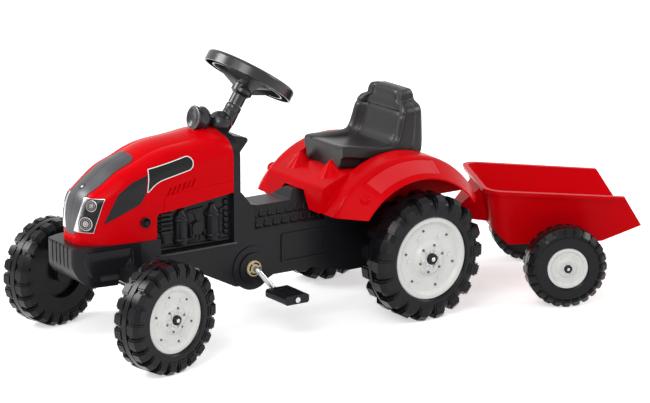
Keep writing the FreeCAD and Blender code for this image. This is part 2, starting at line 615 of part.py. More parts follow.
def tie_rod():
    body = new_body("tie_rod")
    top = "(arm_level - free_gap)"
    bar = sketch_on(body, "XY_Plane", "tie_rod_bar", f"{top} - tie_thick")
    edge = "tie_width / 2"
    bend = f"{edge} * {end_round_share}"
    reach = f"(kingpin_y + {edge})"
    outline(bar, [
        (f"-{edge}", f"-{reach}", bend), (edge, f"-{reach}", bend),
        (edge, reach, bend), (f"-{edge}", reach, bend)])
    pad(body, bar, "tie_thick")
    for side, way in sign.items():
        stud = sketch_on(body, "XY_Plane", f"tie_rod_{side}_stud", f"{top} - tie_thick / 2")
        circle(stud, "0", f"{way} * kingpin_y", "stud_radius")
        pad(body, stud, "tie_thick / 2 + free_gap + arm_thick + stud_rise")
    # The tongue runs level to the rear and then bends square to the steering rod's pin, which it surrounds
    pin_x = "(column_setback - arm_length - (rod_length + rod_pin / 2) * sin(column_angle)" \
            " + arm_length * cos(column_angle))"
    pin_z = "(column_z - (rod_length + rod_pin / 2) * cos(column_angle) - arm_length * sin(column_angle))"
    middle = f"({top} - tie_thick / 2)"
    elbow_x = f"({pin_x} - ({middle} - {pin_z}) / tan(column_angle))"
    tip = "(tongue_width / 2)"
    tip_x = f"({pin_x} + {tip} * cos(column_angle))"
    tip_z = f"({pin_z} - {tip} * sin(column_angle))"
    over_x, over_z = "(tie_thick / 2 * sin(column_angle))", "(tie_thick / 2 * cos(column_angle))"
    slant = "(tie_thick / 2 * tan(column_angle / 2))"
    tongue = sketch_on(body, "XZ_Plane", "tie_rod_tongue")
    outline(tongue, [
        ("0", f"{middle} - tie_thick / 2"), (f"{elbow_x} - {slant}", f"{middle} - tie_thick / 2"),
        (f"{tip_x} - {over_x}", f"{tip_z} - {over_z}"), (f"{tip_x} + {over_x}", f"{tip_z} + {over_z}"),
        (f"{elbow_x} + {slant}", f"{middle} + tie_thick / 2"), ("0", f"{middle} + tie_thick / 2")])
    pad(body, tongue, "tongue_width", both=True)
    hole = sketch_on(body, "XY_Plane", "tie_rod_hole")
    hole.AttachmentOffset = Placement(Vector(), Rotation(y_way, size.column_angle))
    hole.setExpression("AttachmentOffset.Rotation.Angle", bound("column_angle"))
    hole.setExpression("AttachmentOffset.Base.x", bound(pin_x))
    hole.setExpression("AttachmentOffset.Base.z", bound(pin_z))
    circle(hole, "0", "0", "rod_radius + pin_play")
    pocket(body, hole, "2 * tie_thick + overrun", both=True)
    swing = steer_turn.multVec(x_way * size.arm_length)
    body.Placement = Placement(Vector(swing.x - size.wheelbase, swing.y, 0), Rotation())


# Steering wheel, its cap and the bent rod, in the column's frame: Z up the column from the ring's middle

def steering_wheel():
    body = new_body("steering_wheel")
    ring = sketch_on(body, "XZ_Plane", "steering_wheel_ring")
    inside, outside = "(ring_radius - ring_tube)", "(ring_radius + ring_tube)"
    bend = "ring_round - ring_wall"
    outline(ring, [
        (inside, "-ring_low"), (f"{inside} + ring_wall", "-ring_low"),
        (f"{inside} + ring_wall", "ring_tube - ring_wall", bend),
        (f"{outside} - ring_wall", "ring_tube - ring_wall", bend),
        (f"{outside} - ring_wall", "-ring_low"), (outside, "-ring_low"),
        (outside, "ring_tube", "ring_round"), (inside, "ring_tube", "ring_round")])
    revolve(body, ring)
    hub = sketch_on(body, "XZ_Plane", "steering_wheel_hub")
    outline(hub, [
        ("rod_radius", "-sleeve_low"), ("sleeve_radius", "-sleeve_low"), ("sleeve_radius", "-hub_low"),
        ("hub_radius", "-hub_low + hub_round"), ("hub_radius", "-hub_high", "hub_round"),
        ("rod_radius", "-hub_high")])
    revolve(body, hub)
    spoke = sketch_on(body, "XZ_Plane", "steering_wheel_spoke")
    outline(spoke, [
        ("sleeve_radius", f"-hub_high - spoke_thick * {spoke_low_share}"),
        ("ring_radius", "-spoke_thick / 2"), ("ring_radius", "spoke_thick / 2"),
        ("sleeve_radius", f"-hub_high - spoke_thick * {spoke_high_share}")])
    arm = pad(body, spoke, "spoke_width", both=True)
    ring_of(body, [arm], "Z_Axis", "spoke_count")
    body.Placement = steering_place
    cap = new_body("steering_wheel_cap")
    section = sketch_on(cap, "XZ_Plane", "steering_wheel_cap_section")
    outline(section, [
        ("0", "-hub_high"), ("wheel_cap_radius", "-hub_high"),
        ("wheel_cap_radius", "wheel_cap_height - hub_high", f"wheel_cap_height * {cap_round_share}"),
        ("0", "wheel_cap_height - hub_high")])
    revolve(cap, section)
    cap.Placement = steering_place


def steering_rod():
    body = new_body("steering_rod")
    path = sketch_on(body, "XZ_Plane", "steering_rod_path")
    outline(path, [
        ("0", "-hub_high"), ("0", "-rod_length", "rod_bend"), ("arm_length", "-rod_length", "rod_bend"),
        ("arm_length", "-rod_length - rod_pin")], closed=False)
    section = sketch_on(body, "XY_Plane", "steering_rod_section", "-hub_high")
    circle(section, "0", "0", "rod_radius")
    sweep(body, section, path)
    body.Placement = steering_place


# Crank, pedals, sprockets and bushes

def crank():
    body = new_body("crank")
    path = sketch_on(body, "YZ_Plane", "crank_path")
    outline(path, [
        ("-pin_end_y", "-crank_arm"), ("-arm_out_y", "-crank_arm", "crank_bend"),
        ("-arm_in_y", "0", "crank_bend"), ("arm_in_y", "0", "crank_bend"),
        ("arm_out_y", "crank_arm", "crank_bend"), ("pin_end_y", "crank_arm")], closed=False)
    section = sketch_on(body, "XZ_Plane", "crank_section", "pin_end_y")
    circle(section, "0", "-crank_arm", "crank_radius")
    sweep(body, section, path)
    body.Placement = crank_place


def pedal(side):
    body = new_body(f"{side}_pedal")
    block = sketch_on(body, "XZ_Plane", f"{side}_pedal_block")
    along, up = "pedal_width / 2", "pedal_thick / 2"
    outline(block, [
        (f"-{along}", f"-{up}", "pedal_round"), (along, f"-{up}", "pedal_round"),
        (along, up, "pedal_round"), (f"-{along}", up, "pedal_round")])
    circle(block, "0", "0", "crank_radius + fit_gap")
    pad(body, block, "pedal_length", both=True)
    grooves = sketch_on(body, "YZ_Plane", f"{side}_pedal_grooves")
    first = "(pedal_groove_pitch * (pedal_groove_count - 1) / 2)"
    for face in (1, -1):
        low, high = f"{face} * ({up} - pedal_groove_depth)", f"{face} * ({up} + overrun)"
        outline(grooves, [
            (f"-{first} - pedal_groove_width / 2", low), (f"pedal_groove_width / 2 - {first}", low),
            (f"pedal_groove_width / 2 - {first}", high), (f"-{first} - pedal_groove_width / 2", high)])
    cut = pocket(body, grooves, "pedal_width - 2 * pedal_rib", both=True)
    row_of(body, [cut], "Y_Axis", "pedal_groove_pitch", "pedal_groove_count")
    pin = crank_place.multVec(Vector(0, sign[side] * size.pedal_y, sign[side] * size.crank_arm))
    body.Placement = Placement(pin, Rotation())


def sprocket(label, bore, placement):
    body = new_body(label)
    plate = sketch_on(body, "XZ_Plane", f"{label}_plate")
    pitch_radius = "(chain_pitch / 2 / sin(180 / sprocket_count))"
    root = f"({pitch_radius} - roller_radius - free_gap)"
    circle(plate, "0", "0", root)
    circle(plate, "0", "0", bore)
    pad(body, plate, "sprocket_thick", both=True)
    tooth = sketch_on(body, "XZ_Plane", f"{label}_tooth")
    outline(tooth, [
        (f"{root} - tooth_height", "-tooth_root / 2"), (f"{root} + tooth_height", "-tooth_tip / 2"),
        (f"{root} + tooth_height", "tooth_tip / 2"), (f"{root} - tooth_height", "tooth_root / 2")])
    teeth = pad(body, tooth, "sprocket_thick", both=True)
    ring_of(body, [teeth], "Y_Axis", "sprocket_count")
    body.Placement = placement


def bush(label, bore, place):
    body = new_body(label)
    section = sketch_on(body, "XY_Plane", f"{label}_section")
    face = "chassis_half + boss_plate_height"
    outline(section, [
        (f"{bore} + fit_gap", "chassis_half - chassis_wall - bush_height"),
        (f"{bore} + bush_height", "chassis_half - chassis_wall - bush_height"),
        (f"{bore} + bush_height", face), ("bush_flange", face),
        ("bush_flange", f"{face} + bush_height", f"bush_height * {head_round_share}"),
        (f"{bore} + fit_gap", f"{face} + bush_height")])
    revolve(body, section)
    body.Placement = place


# The chain's rollers sit in the sprockets' gaps, between two side bands that follow the links

def drive_chain():
    count = int(size.sprocket_count)
    pitch_radius = size.chain_pitch / 2 / math.sin(math.pi / count)
    span = crank_span

    def band(radius):
        top, bottom = end_points(radius), end_points(-radius)
        edges = [Part.makeLine(*top), Part.makeLine(*reversed(bottom))]
        edges.append(Part.Arc(top[0], Vector(radius, 0, 0), bottom[0]).toShape())
        edges.append(Part.Arc(top[1], Vector(-span - radius, 0, 0), bottom[1]).toShape())
        return Part.Face(Part.Wire(Part.__sortEdges__(edges)))

    def end_points(height):
        return [Vector(0, 0, height), Vector(-span, 0, height)]

    strip = band(pitch_radius + size.plate_half).cut(band(pitch_radius - size.plate_half))
    shapes = []
    for low in (size.plate_gap, -size.plate_gap - size.plate_thick):
        shapes.append(moved(strip, y_way * low).extrude(y_way * size.plate_thick))
    places = [Vector(-step * size.chain_pitch, 0, way * pitch_radius)
              for step in range(int(size.chain_span_count) + 1) for way in (1, -1)]
    for step in range(1, count // 2):
        turn = math.pi / 2 - step * 2 * math.pi / count
        places.append(Vector(pitch_radius * math.cos(turn), 0, pitch_radius * math.sin(turn)))
        places.append(Vector(-span - pitch_radius * math.cos(turn), 0, pitch_radius * math.sin(turn)))
    reach = y_way * (size.plate_gap + size.plate_thick / 2)
    rollers = [rod(size.roller_radius, place - reach, place + reach) for place in places]
    shape = shapes[0].multiFuse(shapes[1:] + rollers)
    tilt = Rotation(y_way, chain_tilt)
    solid("drive_chain", shape, Placement(Vector(0, size.chain_y, size.rear_radius), tilt))


# Hood: cross sections along the nose, lofted; films and the dash follow the same sections.
# Each station gives its shares of the hood's length, half width and height.
hood_station_shares = [
    (0.0, 0.275, 0.107), (0.009, 0.3625, 0.23), (0.025, 0.4625, 0.38), (0.049, 0.575, 0.481),
    (0.08, 0.6875, 0.545), (0.123, 0.78, 0.599), (0.194, 0.869, 0.684), (0.302, 0.9375, 0.791),
    (0.457, 0.981, 0.898), (0.642, 1.0, 0.968), (0.827, 1.0, 1.0), (1.0, 1.0, 0.995)]
hood_corner_shares = (0.5, 0.6)
hood_crown_share = 0.1


def hood_section(x, half, top, low):
    radius = min(hood_corner_shares[0] * half, hood_corner_shares[1] * (top - low))
    edge = top - hood_crown_share * half
    bend = radius * (1 - math.cos(math.pi / 4))
    left = [Vector(x, -half, low), Vector(x, -half, edge - radius), Vector(x, bend - half, edge - bend),
            Vector(x, radius - half, edge)]
    right = [Vector(x, -point.y, point.z) for point in left]
    edges = [Part.makeLine(left[0], left[1]), Part.Arc(*left[1:]).toShape(),
             Part.Arc(left[3], Vector(x, 0, top), right[3]).toShape(),
             Part.Arc(right[3], right[2], right[1]).toShape(), Part.makeLine(right[1], right[0]),
             Part.makeLine(right[0], left[0])]
    return Part.Wire(edges)


def hood_form(grow, low):
    sections = []
    for along, wide, high in hood_station_shares:
        x = -size.hood_front + along * (size.hood_front - size.hood_rear) - grow
        top = size.deck_z + high * (size.hood_top - size.deck_z) + grow
        sections.append(hood_section(x, wide * size.hood_half + grow, top, low))
    return Part.makeLoft(sections, True, False)


def far(value):
    return value + size.overrun


column_hole = rod(size.rod_radius + size.rod_hole_gap, column_base,
                  column_base - column_way * (size.rod_length + size.rod_pin))
hood_outer = hood_form(0, size.deck_z)


def hood():
    shape = hood_outer.cut(hood_form(-size.hood_wall, size.deck_z - size.overrun))
    wide = far(size.hood_half)
    low = size.deck_z - size.overrun
    rear = -size.hood_rear + size.overrun
    opening = [(-size.step_x, low), (rear, low), (rear, size.hood_rear_low),
               (-size.step_x, size.step_z, size.step_round)]
    belt = [(-size.belt_low_front, low), (rear, low), (rear, size.belt_rear_z),
            (-size.belt_front, size.belt_front_z, size.step_round)]
    band = hood_form(size.belt_step, size.deck_z).cut(hood_form(-size.hood_wall, low))
    band = band.common(prism(belt, side_view, y_way, -wide, wide))
    behind = box(Vector(-size.hood_rear, -wide, 0), Vector(rear, wide, far(size.hood_top)))
    shape = shape.fuse(band.cut(behind)).cut(prism(opening, side_view, y_way, -wide, wide))
    for step in range(int(size.vent_count)):
        x = -size.vent_x + step * size.vent_pitch
        z = size.vent_z + step * size.vent_rise
        top = z + size.vent_height
        slot = [(x, z), (x + size.vent_width, z), (x + size.vent_width + size.vent_lean, top),
                (x + size.vent_lean, top)]
        shape = shape.cut(prism(slot, side_view, y_way, -wide, wide))
    hole = side_view(-size.hood_hole_x, size.hood_hole_z)
    shape = shape.cut(rod(size.hood_hole_radius, hole - y_way * wide, hole + y_way * wide))
    solid("hood", shape.cut(column_hole))


# Films lie on the hood's skin. Their outlines are shares of the hood's length, behind its front, and height.
grille_end_shares = [(0.25, 0.1), (0.35, 0.48), (0.45, 0.6), (0.45, 1.1)]
grille_back_share = 0.395
grille_round_share = 0.2
lamp_shares = {"front": -0.06, "rear": 0.486, "low": 0.134, "high": 0.49, "lean": 0.27}
window_side_shares = [(0.123, 0.225), (0.21, 0.294), (0.352, 0.401), (0.389, 0.497), (0.404, 0.69),
                      (0.302, 0.631), (0.21, 0.519)]
panel_side_shares = [(0.397, 0.494, 0.01), (0.469, 0.604, 0.3), (0.713, 0.69, 0.07), (0.722, 0.85, 0.075),
                     (0.413, 0.749, 0.02)]


def on_hood_side(shares):
    length = size.hood_front - size.hood_rear
    height = size.hood_top - size.deck_z
    corners = []
    for along, up, *bends in shares:
        x, z = -size.hood_front + along * length, size.deck_z + up * height
        corners.append((x, z, *(bend * height for bend in bends)))
    return corners


def films():
    skin = hood_form(size.film_gap + size.film, size.deck_z).cut(hood_form(size.film_gap, size.deck_z))
    wide = far(size.hood_half)
    height = size.hood_top - size.deck_z
    length = size.hood_front - size.hood_rear
    right = [(out * size.hood_half, size.deck_z + up * height) for out, up in grille_end_shares]
    left = [(-y, z) for y, z in reversed(right)]
    back = -size.hood_front + grille_back_share * length
    strip = prism(right + left, end_view, x_way, -far(size.hood_front), far(back))
    edge = grille_end_shares[-1][0] * size.hood_half
    bend = grille_round_share * size.hood_half
    front = -far(size.hood_front)
    end = [(front, -edge), (back, -edge, bend), (back, edge, bend), (front, edge)]
    strip = strip.common(prism(end, plan_view, z_way, 0, far(size.hood_top)))
    slant = Vector(-1, -1, 0).normalize()
    along = Vector(1, -1, 0).normalize()
    corner = Vector(-size.hood_front, -hood_station_shares[0][1] * size.hood_half, size.deck_z)
    rows = [(lamp_shares["front"], lamp_shares["low"]), (lamp_shares["rear"], lamp_shares["low"]),
            (lamp_shares["rear"] + lamp_shares["lean"], lamp_shares["high"]),
            (lamp_shares["front"] + lamp_shares["lean"], lamp_shares["high"])]
    points = [corner + along * (out * size.hood_half) + z_way * (up * height) - slant * size.hood_half
              for out, up in rows]
    block = Part.Face(Part.makePolygon(points + points[:1])).extrude(slant * 2 * size.hood_half)
    lamp = skin.common(block)
    solid("grille_film", skin.common(strip).cut(Part.makeCompound([block, mirrored(block)])))
    window = prism(on_hood_side(window_side_shares), side_view, y_way, -wide, 0)
    panel = prism(on_hood_side(panel_side_shares), side_view, y_way, -wide, 0)
    for name, shape in (("headlight_film", lamp), ("window_film", skin.common(window)),
                        ("name_panel", skin.common(panel))):
        solid(f"left_{name}", shape)
        solid(f"right_{name}", mirrored(shape))


def dash_shape():
    top = size.deck_z + hood_station_shares[-1][2] * (size.hood_top - size.deck_z)
    face = Part.Face(hood_section(-size.hood_rear, size.hood_half, top, size.dash_low))
    rear = -size.hood_rear + size.dash_depth
    lip = [(rear - size.dash_depth / 2, size.lip_low), (rear, size.lip_low),
           (rear + size.lip_reach, size.lip_top - size.lip_drop, size.lip_round),
           (rear, size.lip_top), (rear - size.dash_depth / 2, size.lip_top)]
    shelf = prism(lip, side_view, y_way, -size.lip_half, size.lip_half)
    return face.extrude(x_way * size.dash_depth).fuse(shelf).removeSplitter()


dash = dash_shape()


# The column's ball, beaded neck and the dash pod are cut to the hood and dash that they sit on

def column_collar():
    neck = rod(size.collar_radius, z_way * -size.collar_low, z_way * -(size.sleeve_low + size.free_gap))
    ball = Part.makeSphere(size.ball_radius, z_way * -size.ball_drop)
    shape = neck.fuse(ball)
    top = size.sleeve_low + size.free_gap + size.collar_bead_height
    for drop in (top, top + 2 * size.collar_bead_height):
        rim = size.collar_radius + size.collar_bead
        shape = shape.fuse(rod(rim, z_way * -drop, z_way * (size.collar_bead_height - drop)))
    shape.Placement = Placement(column_base, column_tilt)
    bore = rod(size.rod_radius + size.fit_gap, column_base, column_base - column_way * 2 * size.collar_low)
    solid("column_collar", shape.cut(hood_outer).cut(dash).cut(bore).removeSplitter())


pod_ring_share = 0.25


def dash_pod():
    way = Rotation(y_way, size.pod_angle).multVec(x_way)
    middle = Vector(-size.pod_x, 0, size.pod_z)
    shape = rod(size.pod_radius, middle - way * size.pod_length / 2, middle + way * size.pod_length / 2)
    for step in (-1, 1):
        at = middle + way * (step * pod_ring_share * size.pod_length)
        ring = rod(size.pod_radius + size.pod_ring, at - way * size.pod_ring_width / 2,
                   at + way * size.pod_ring_width / 2)
        shape = shape.fuse(ring)
    collar = pieces["column_collar"].Shape
    solid("dash_pod", shape.cut(hood_outer).cut(dash).cut(collar).removeSplitter())


# Chassis: one hollow moulding in two halves that meet on the middle plane

def chassis_side():
    return [
        (-size.chassis_front, size.bumper_low, size.bumper_round),
        (-size.wheelbase - size.beam_depth / 2 - size.notch_gap, size.bumper_low, size.edge_round),
        (-size.wheelbase - size.beam_depth / 2 - size.notch_gap, size.beam_high),
        (-size.wheelbase + size.beam_depth / 2 + size.notch_gap, size.beam_high),
        (-size.wheelbase + size.beam_depth / 2 + size.notch_gap, size.belly_low, size.edge_round),
        (-size.belly_rear, size.belly_low, size.belly_round),
        (crank_x - size.bulge_ahead, crank_z - size.bulge_radius, size.bulge_round),
        (crank_x + size.bulge_behind, crank_z - size.bulge_radius, size.edge_round),
        (crank_x + size.bulge_rear, size.waist_low, size.edge_round),
        (-size.waist_rear, size.waist_low, size.waist_round),
        (-size.tail_front, size.tail_low, size.waist_round),
        (size.tail_rear, size.tail_low, size.tail_round),
        (size.tail_rear, size.tail_top, size.pedestal_round),
        (size.pedestal_rear, size.pedestal_top, size.pedestal_round),
        (-size.pedestal_front, size.pedestal_top, size.pedestal_round),
        (-size.ramp_front, size.saddle_peak, size.pedestal_round),
        (-size.saddle_rear, size.saddle_peak, size.pedestal_round),
        (-size.saddle_low_rear, size.saddle_z, size.pedestal_round),
        (-size.saddle_low_front, size.saddle_z, size.saddle_round),
        (-size.scuttle_low_x, size.scuttle_low_z, size.saddle_round),
        (-size.scuttle_x, size.dash_low),
        (-size.hood_rear, size.dash_low),
        (-size.hood_rear, size.block_top),
        (-size.step_x, size.block_top),
        (-size.step_x, size.deck_z),
        (-size.chassis_front, size.deck_z, size.edge_round)]


def chassis_plan(inset):
    half = size.chassis_half - inset
    near = [(-size.chassis_front + inset, size.nose_half - inset, size.nose_round - inset),
            (-size.cheek_x, size.cheek_half - inset, size.cheek_round), (-size.taper_x, half),
            (far(size.tail_rear), half)]
    return near + [(corner[0], -corner[1], *corner[2:]) for corner in reversed(near)]


def chassis_cuts(inset):
    wide = far(size.chassis_half)
    tall = far(size.hood_top)
    bay = size.chassis_half - size.bay_depth - inset
    rear = -size.hood_rear + inset
    cuts = [box(Vector(-size.bay_front - inset, bay, size.bay_low - inset), Vector(rear, wide, tall)),
            box(Vector(-far(size.step_x), bay, size.deck_z - inset), Vector(rear, wide, tall))]
    reach = inset / math.cos(math.atan2(size.saddle_z - size.slope_low, size.chassis_half - size.slope_half))
    run = size.chassis_half - size.slope_half
    fall = (size.saddle_z - size.slope_low) / run
    slope = [(wide, size.slope_low - reach - fall * (wide - size.chassis_half)),
             (size.slope_half - run, size.saddle_z - reach + fall * run), (wide, tall)]
    cuts.append(prism(slope, end_view, x_way, -size.scuttle_low_x + inset, -size.ramp_front - inset))
    return [cut for near in cuts for cut in (near, mirrored(near))]


def chassis_details():
    half = size.chassis_half
    face = half - size.bay_depth
    out = []
    crank_axis = Vector(crank_x, 0, crank_z)
    axle_axis = Vector(0, 0, size.rear_radius)
    inner = y_way * (half - size.chassis_wall)
    for axis, radius, height in ((crank_axis, size.boss_ring, size.boss_ring_height),
                                 (crank_axis, size.boss_plate, size.boss_plate_height),
                                 (axle_axis, size.boss_plate, size.boss_plate_height)):
        out.append(rod(radius, axis + inner, axis + y_way * (half + height)))
    bend = size.frame_round
    frame = [(-size.frame_front, size.frame_low, bend), (-size.frame_rear, size.frame_low, bend),
             (-size.frame_rear, size.frame_high, bend), (-size.frame_front, size.frame_high, bend)]
    rim = outline_face(frame, side_view)
    rim = rim.cut(rim.makeOffset2D(-size.frame_width))
    out.append(moved(rim, y_way * (half - size.chassis_wall / 2)).extrude(
        y_way * (size.chassis_wall / 2 + size.frame_height)))
    for x in (size.canister_front, size.canister_rear):
        base = Vector(-x, face, size.canister_low)
        out.append(rod(size.canister_radius, base, base + z_way * size.canister_height))
    hub = Vector(-size.pulley_x, face - size.chassis_wall / 2, size.pulley_z)
    out.append(rod(size.pulley_radius, hub, hub + y_way * size.pulley_height))
    pipe = Vector(-size.pipe_front, face, size.pipe_low)
    out.append(rod(size.pipe_radius, pipe, pipe + x_way * (size.pipe_front - size.pipe_rear)))
    for step in range(int(size.stack_count)):
        at = Vector(-size.stack_x, face, size.pipe_low + size.pipe_radius + (step + 1) * size.stack_pitch)
        out.append(Part.makeSphere(size.stack_radius, at))
    for step in range(int(size.fin_count)):
        low = Vector(-size.fin_front, face - size.chassis_wall / 2, size.fin_low + step * size.fin_pitch)
        high = Vector(-size.fin_rear, face + size.fin_depth, low.z + size.fin_thick)
        out.append(box(low, high))
    return out


def chassis():
    wide = far(size.chassis_half)
    face = outline_face(chassis_side(), side_view)
    shape = moved(face, y_way * -wide).extrude(y_way * 2 * wide)
    shape = shape.common(prism(chassis_plan(0), plan_view, z_way, 0, far(size.hood_top)))
    shape = shape.cut(Part.makeCompound(chassis_cuts(0)))
    hollow = moved(face.makeOffset2D(-size.chassis_wall), y_way * -wide).extrude(y_way * 2 * wide)
    hollow = hollow.common(prism(chassis_plan(size.chassis_wall), plan_view, z_way, 0, far(size.hood_top)))
    hollow = hollow.cut(Part.makeCompound(chassis_cuts(size.chassis_wall)))
    shape = shape.cut(hollow)
    for step in range(int(size.groove_count)):
        y = (step - (size.groove_count - 1) / 2) * size.groove_pitch
        low = Vector(-size.chassis_front - size.overrun, y - size.groove_width / 2, size.groove_low)
        high = Vector(-size.chassis_front + size.groove_depth, y + size.groove_width / 2, far(size.deck_z))
        shape = shape.cut(box(low, high))
    near = shape.common(box(Vector(-far(size.chassis_front), 0, 0),
                            Vector(far(size.tail_rear), wide, far(size.hood_top))))
    near = near.multiFuse(chassis_details())
    side = size.plate_gap + size.plate_thick + size.chain_slot_gap
    holes = [column_hole, box(Vector(-size.chain_slot_front, size.chain_y - side, 0),
                              Vector(-size.chain_slot_rear, size.chain_y + side, far(size.waist_low)))]
    for x, z, bore in ((crank_x, crank_z, size.crank_radius), (0, size.rear_radius, size.shaft_radius)):
        start = Vector(x, 0, z)
        holes.append(rod(bore + size.bush_height, start, start + y_way * wide))
    near = near.cut(Part.makeCompound(holes)).removeSplitter()
    solid("chassis_right", near)
    solid("chassis_left", mirrored(near))


# Hitch: an angle bracket on the chassis tail with an upright pin

def hitch():
    body = new_body("hitch_bracket")
    side = sketch_on(body, "XZ_Plane", "hitch_bracket_side")
    tail, reach = "tail_rear", "hitch_x + bracket_half"
    outline(side, [
        (tail, "hitch_z - bracket_lip"), (f"{tail} + bracket_thick", "hitch_z - bracket_lip"),
        (f"{tail} + bracket_thick", "hitch_z - bracket_thick"), (reach, "hitch_z - bracket_thick"),
        (reach, "hitch_z"), (f"{tail} + bracket_thick", "hitch_z"),
        (f"{tail} + bracket_thick", "hitch_z + bracket_foot"), (tail, "hitch_z + bracket_foot")])
    pad(body, side, "2 * bracket_half", both=True)
    hole = sketch_on(body, "XY_Plane", "hitch_bracket_hole", "hitch_z - bracket_thick - overrun")
    circle(hole, "hitch_x", "0", "hitch_pin_radius")
    pocket(body, hole, "bracket_thick + 2 * overrun", back=True)
    pin = new_body("hitch_pin")
    section = sketch_on(pin, "XZ_Plane", "hitch_pin_section")
    top = "hitch_z + free_gap + drawbar_height + free_gap"
    low = "hitch_z - bracket_thick"
    outline(section, [
        ("0", f"{low} - hitch_head_height"), ("hitch_head_radius", f"{low} - hitch_head_height"),
        ("hitch_head_radius", low), ("hitch_pin_radius", low), ("hitch_pin_radius", top),
        ("hitch_head_radius", top),
        ("hitch_head_radius", f"{top} + hitch_head_height", f"hitch_head_height * {head_round_share}"),
        ("0", f"{top} + hitch_head_height")])
    revolve(pin, section)
    pin.Placement = Placement(Vector(size.hitch_x, 0, 0), Rotation())


# Rear body: the seat base over the chassis, with a swept fender over each wheel

def rear_body():
    half, wall = size.body_half, size.body_wall
    top = size.pedestal_top + wall
    side = [(-size.body_front, size.body_low), (size.body_rear, size.body_low),
            (size.body_rear_x + size.body_rear_reach, top - size.body_rear_drop, size.body_rear_round),
            (size.body_rear_x, top, size.body_rear_round),
            (-size.pedestal_front - 2 * wall, top, size.body_ledge_round),
            (-size.body_slope_x, size.body_slope, size.body_slope_round),
            (-size.body_ledge_x, size.body_ledge, size.body_ledge_round)]
    face = outline_face(side, side_view)
    shape = moved(face, y_way * -half).extrude(y_way * 2 * half)
    axis = Vector(-size.fender_shift, 0, size.rear_radius)
    crest, rim = size.fender_radius, size.fender_edge_radius
    shoulder, bend = crest - size.fender_drop, size.fender_round
    skin = [(half - wall, size.fender_web), (half, size.fender_web), (half, crest - wall),
            (size.fender_shoulder_y - wall, shoulder - wall, bend - wall),
            (size.fender_edge_y, rim - wall), (size.fender_edge_y, rim),
            (size.fender_shoulder_y, shoulder, bend), (half - wall, crest)]
    arch = moved(outline_face(skin, end_view), axis).revolve(axis, y_way, 360)
    keep = box(Vector(-far(size.fender_radius) - size.fender_shift, 0, size.fender_low),
               Vector(far(size.fender_radius), far(size.fender_edge_y), far(size.hood_top)))
    arch = arch.common(keep)
    fall = (shoulder - rim) / (size.fender_edge_y - size.fender_shoulder_y)
    near, out = size.strip_near, size.strip_far

    def slope_at(y):
        return rim + fall * (size.fender_edge_y - y)

    strip = [(near, slope_at(near) - size.strip_depth), (out, slope_at(out) - size.strip_depth),
             (out, far(slope_at(out))), (near, far(slope_at(near)))]
    inlay = moved(outline_face(strip, end_view), axis)
    inlay.rotate(axis, y_way, -size.strip_front_angle)
    arch = arch.cut(inlay.revolve(axis, y_way, size.strip_front_angle + size.strip_rear_angle))
    middle = (near + out) / 2
    bump = Part.makeSphere(size.bump_radius, end_view(middle, slope_at(middle) - size.bump_sink) + axis)
    bump.rotate(axis, y_way, -size.bump_angle)
    under_arch = Part.makeCylinder(slope_at(out), far(size.fender_edge_y), axis, y_way)
    arch = arch.fuse(bump.cut(under_arch))
    peak = Part.makeCone(size.peak_radius, size.peak_tip, size.peak_height,
                         Vector(-size.peak_x, size.peak_y, size.peak_low))
    tip = Vector(-size.peak_x, size.peak_y, size.peak_low + size.peak_height)
    peak = peak.fuse(Part.makeSphere(size.peak_tip, tip))
    peak = peak.cut(box(Vector(-size.seat_front - size.free_gap, 0, top),
                        Vector(0, half, far(size.hood_top))))
    shape = shape.multiFuse([arch, mirrored(arch), peak, mirrored(peak)])
    room = moved(face.makeOffset2D(-wall), y_way * (wall - half)).extrude(y_way * 2 * (half - wall))
    under = box(Vector(-size.body_ledge_x + wall, wall - half, 0),
                Vector(size.body_rear - wall, half - wall, size.body_low + wall + size.overrun))
    gap = size.free_gap
    mouth = [(size.chassis_half + gap, 0), (size.chassis_half + gap, size.slope_low + gap),
             (size.slope_half + gap, size.saddle_peak + gap)]
    mouth = mouth + [(-y, z) for y, z in reversed(mouth)]
    doorway = prism(mouth, end_view, x_way, -far(size.body_front), -size.pedestal_front)
    shape = shape.cut(room.fuse(under)).cut(doorway)
    solid("rear_body", shape.removeSplitter())


# Seat: a one-piece moulded bucket with raised rims, a straight back and stepped shoulders

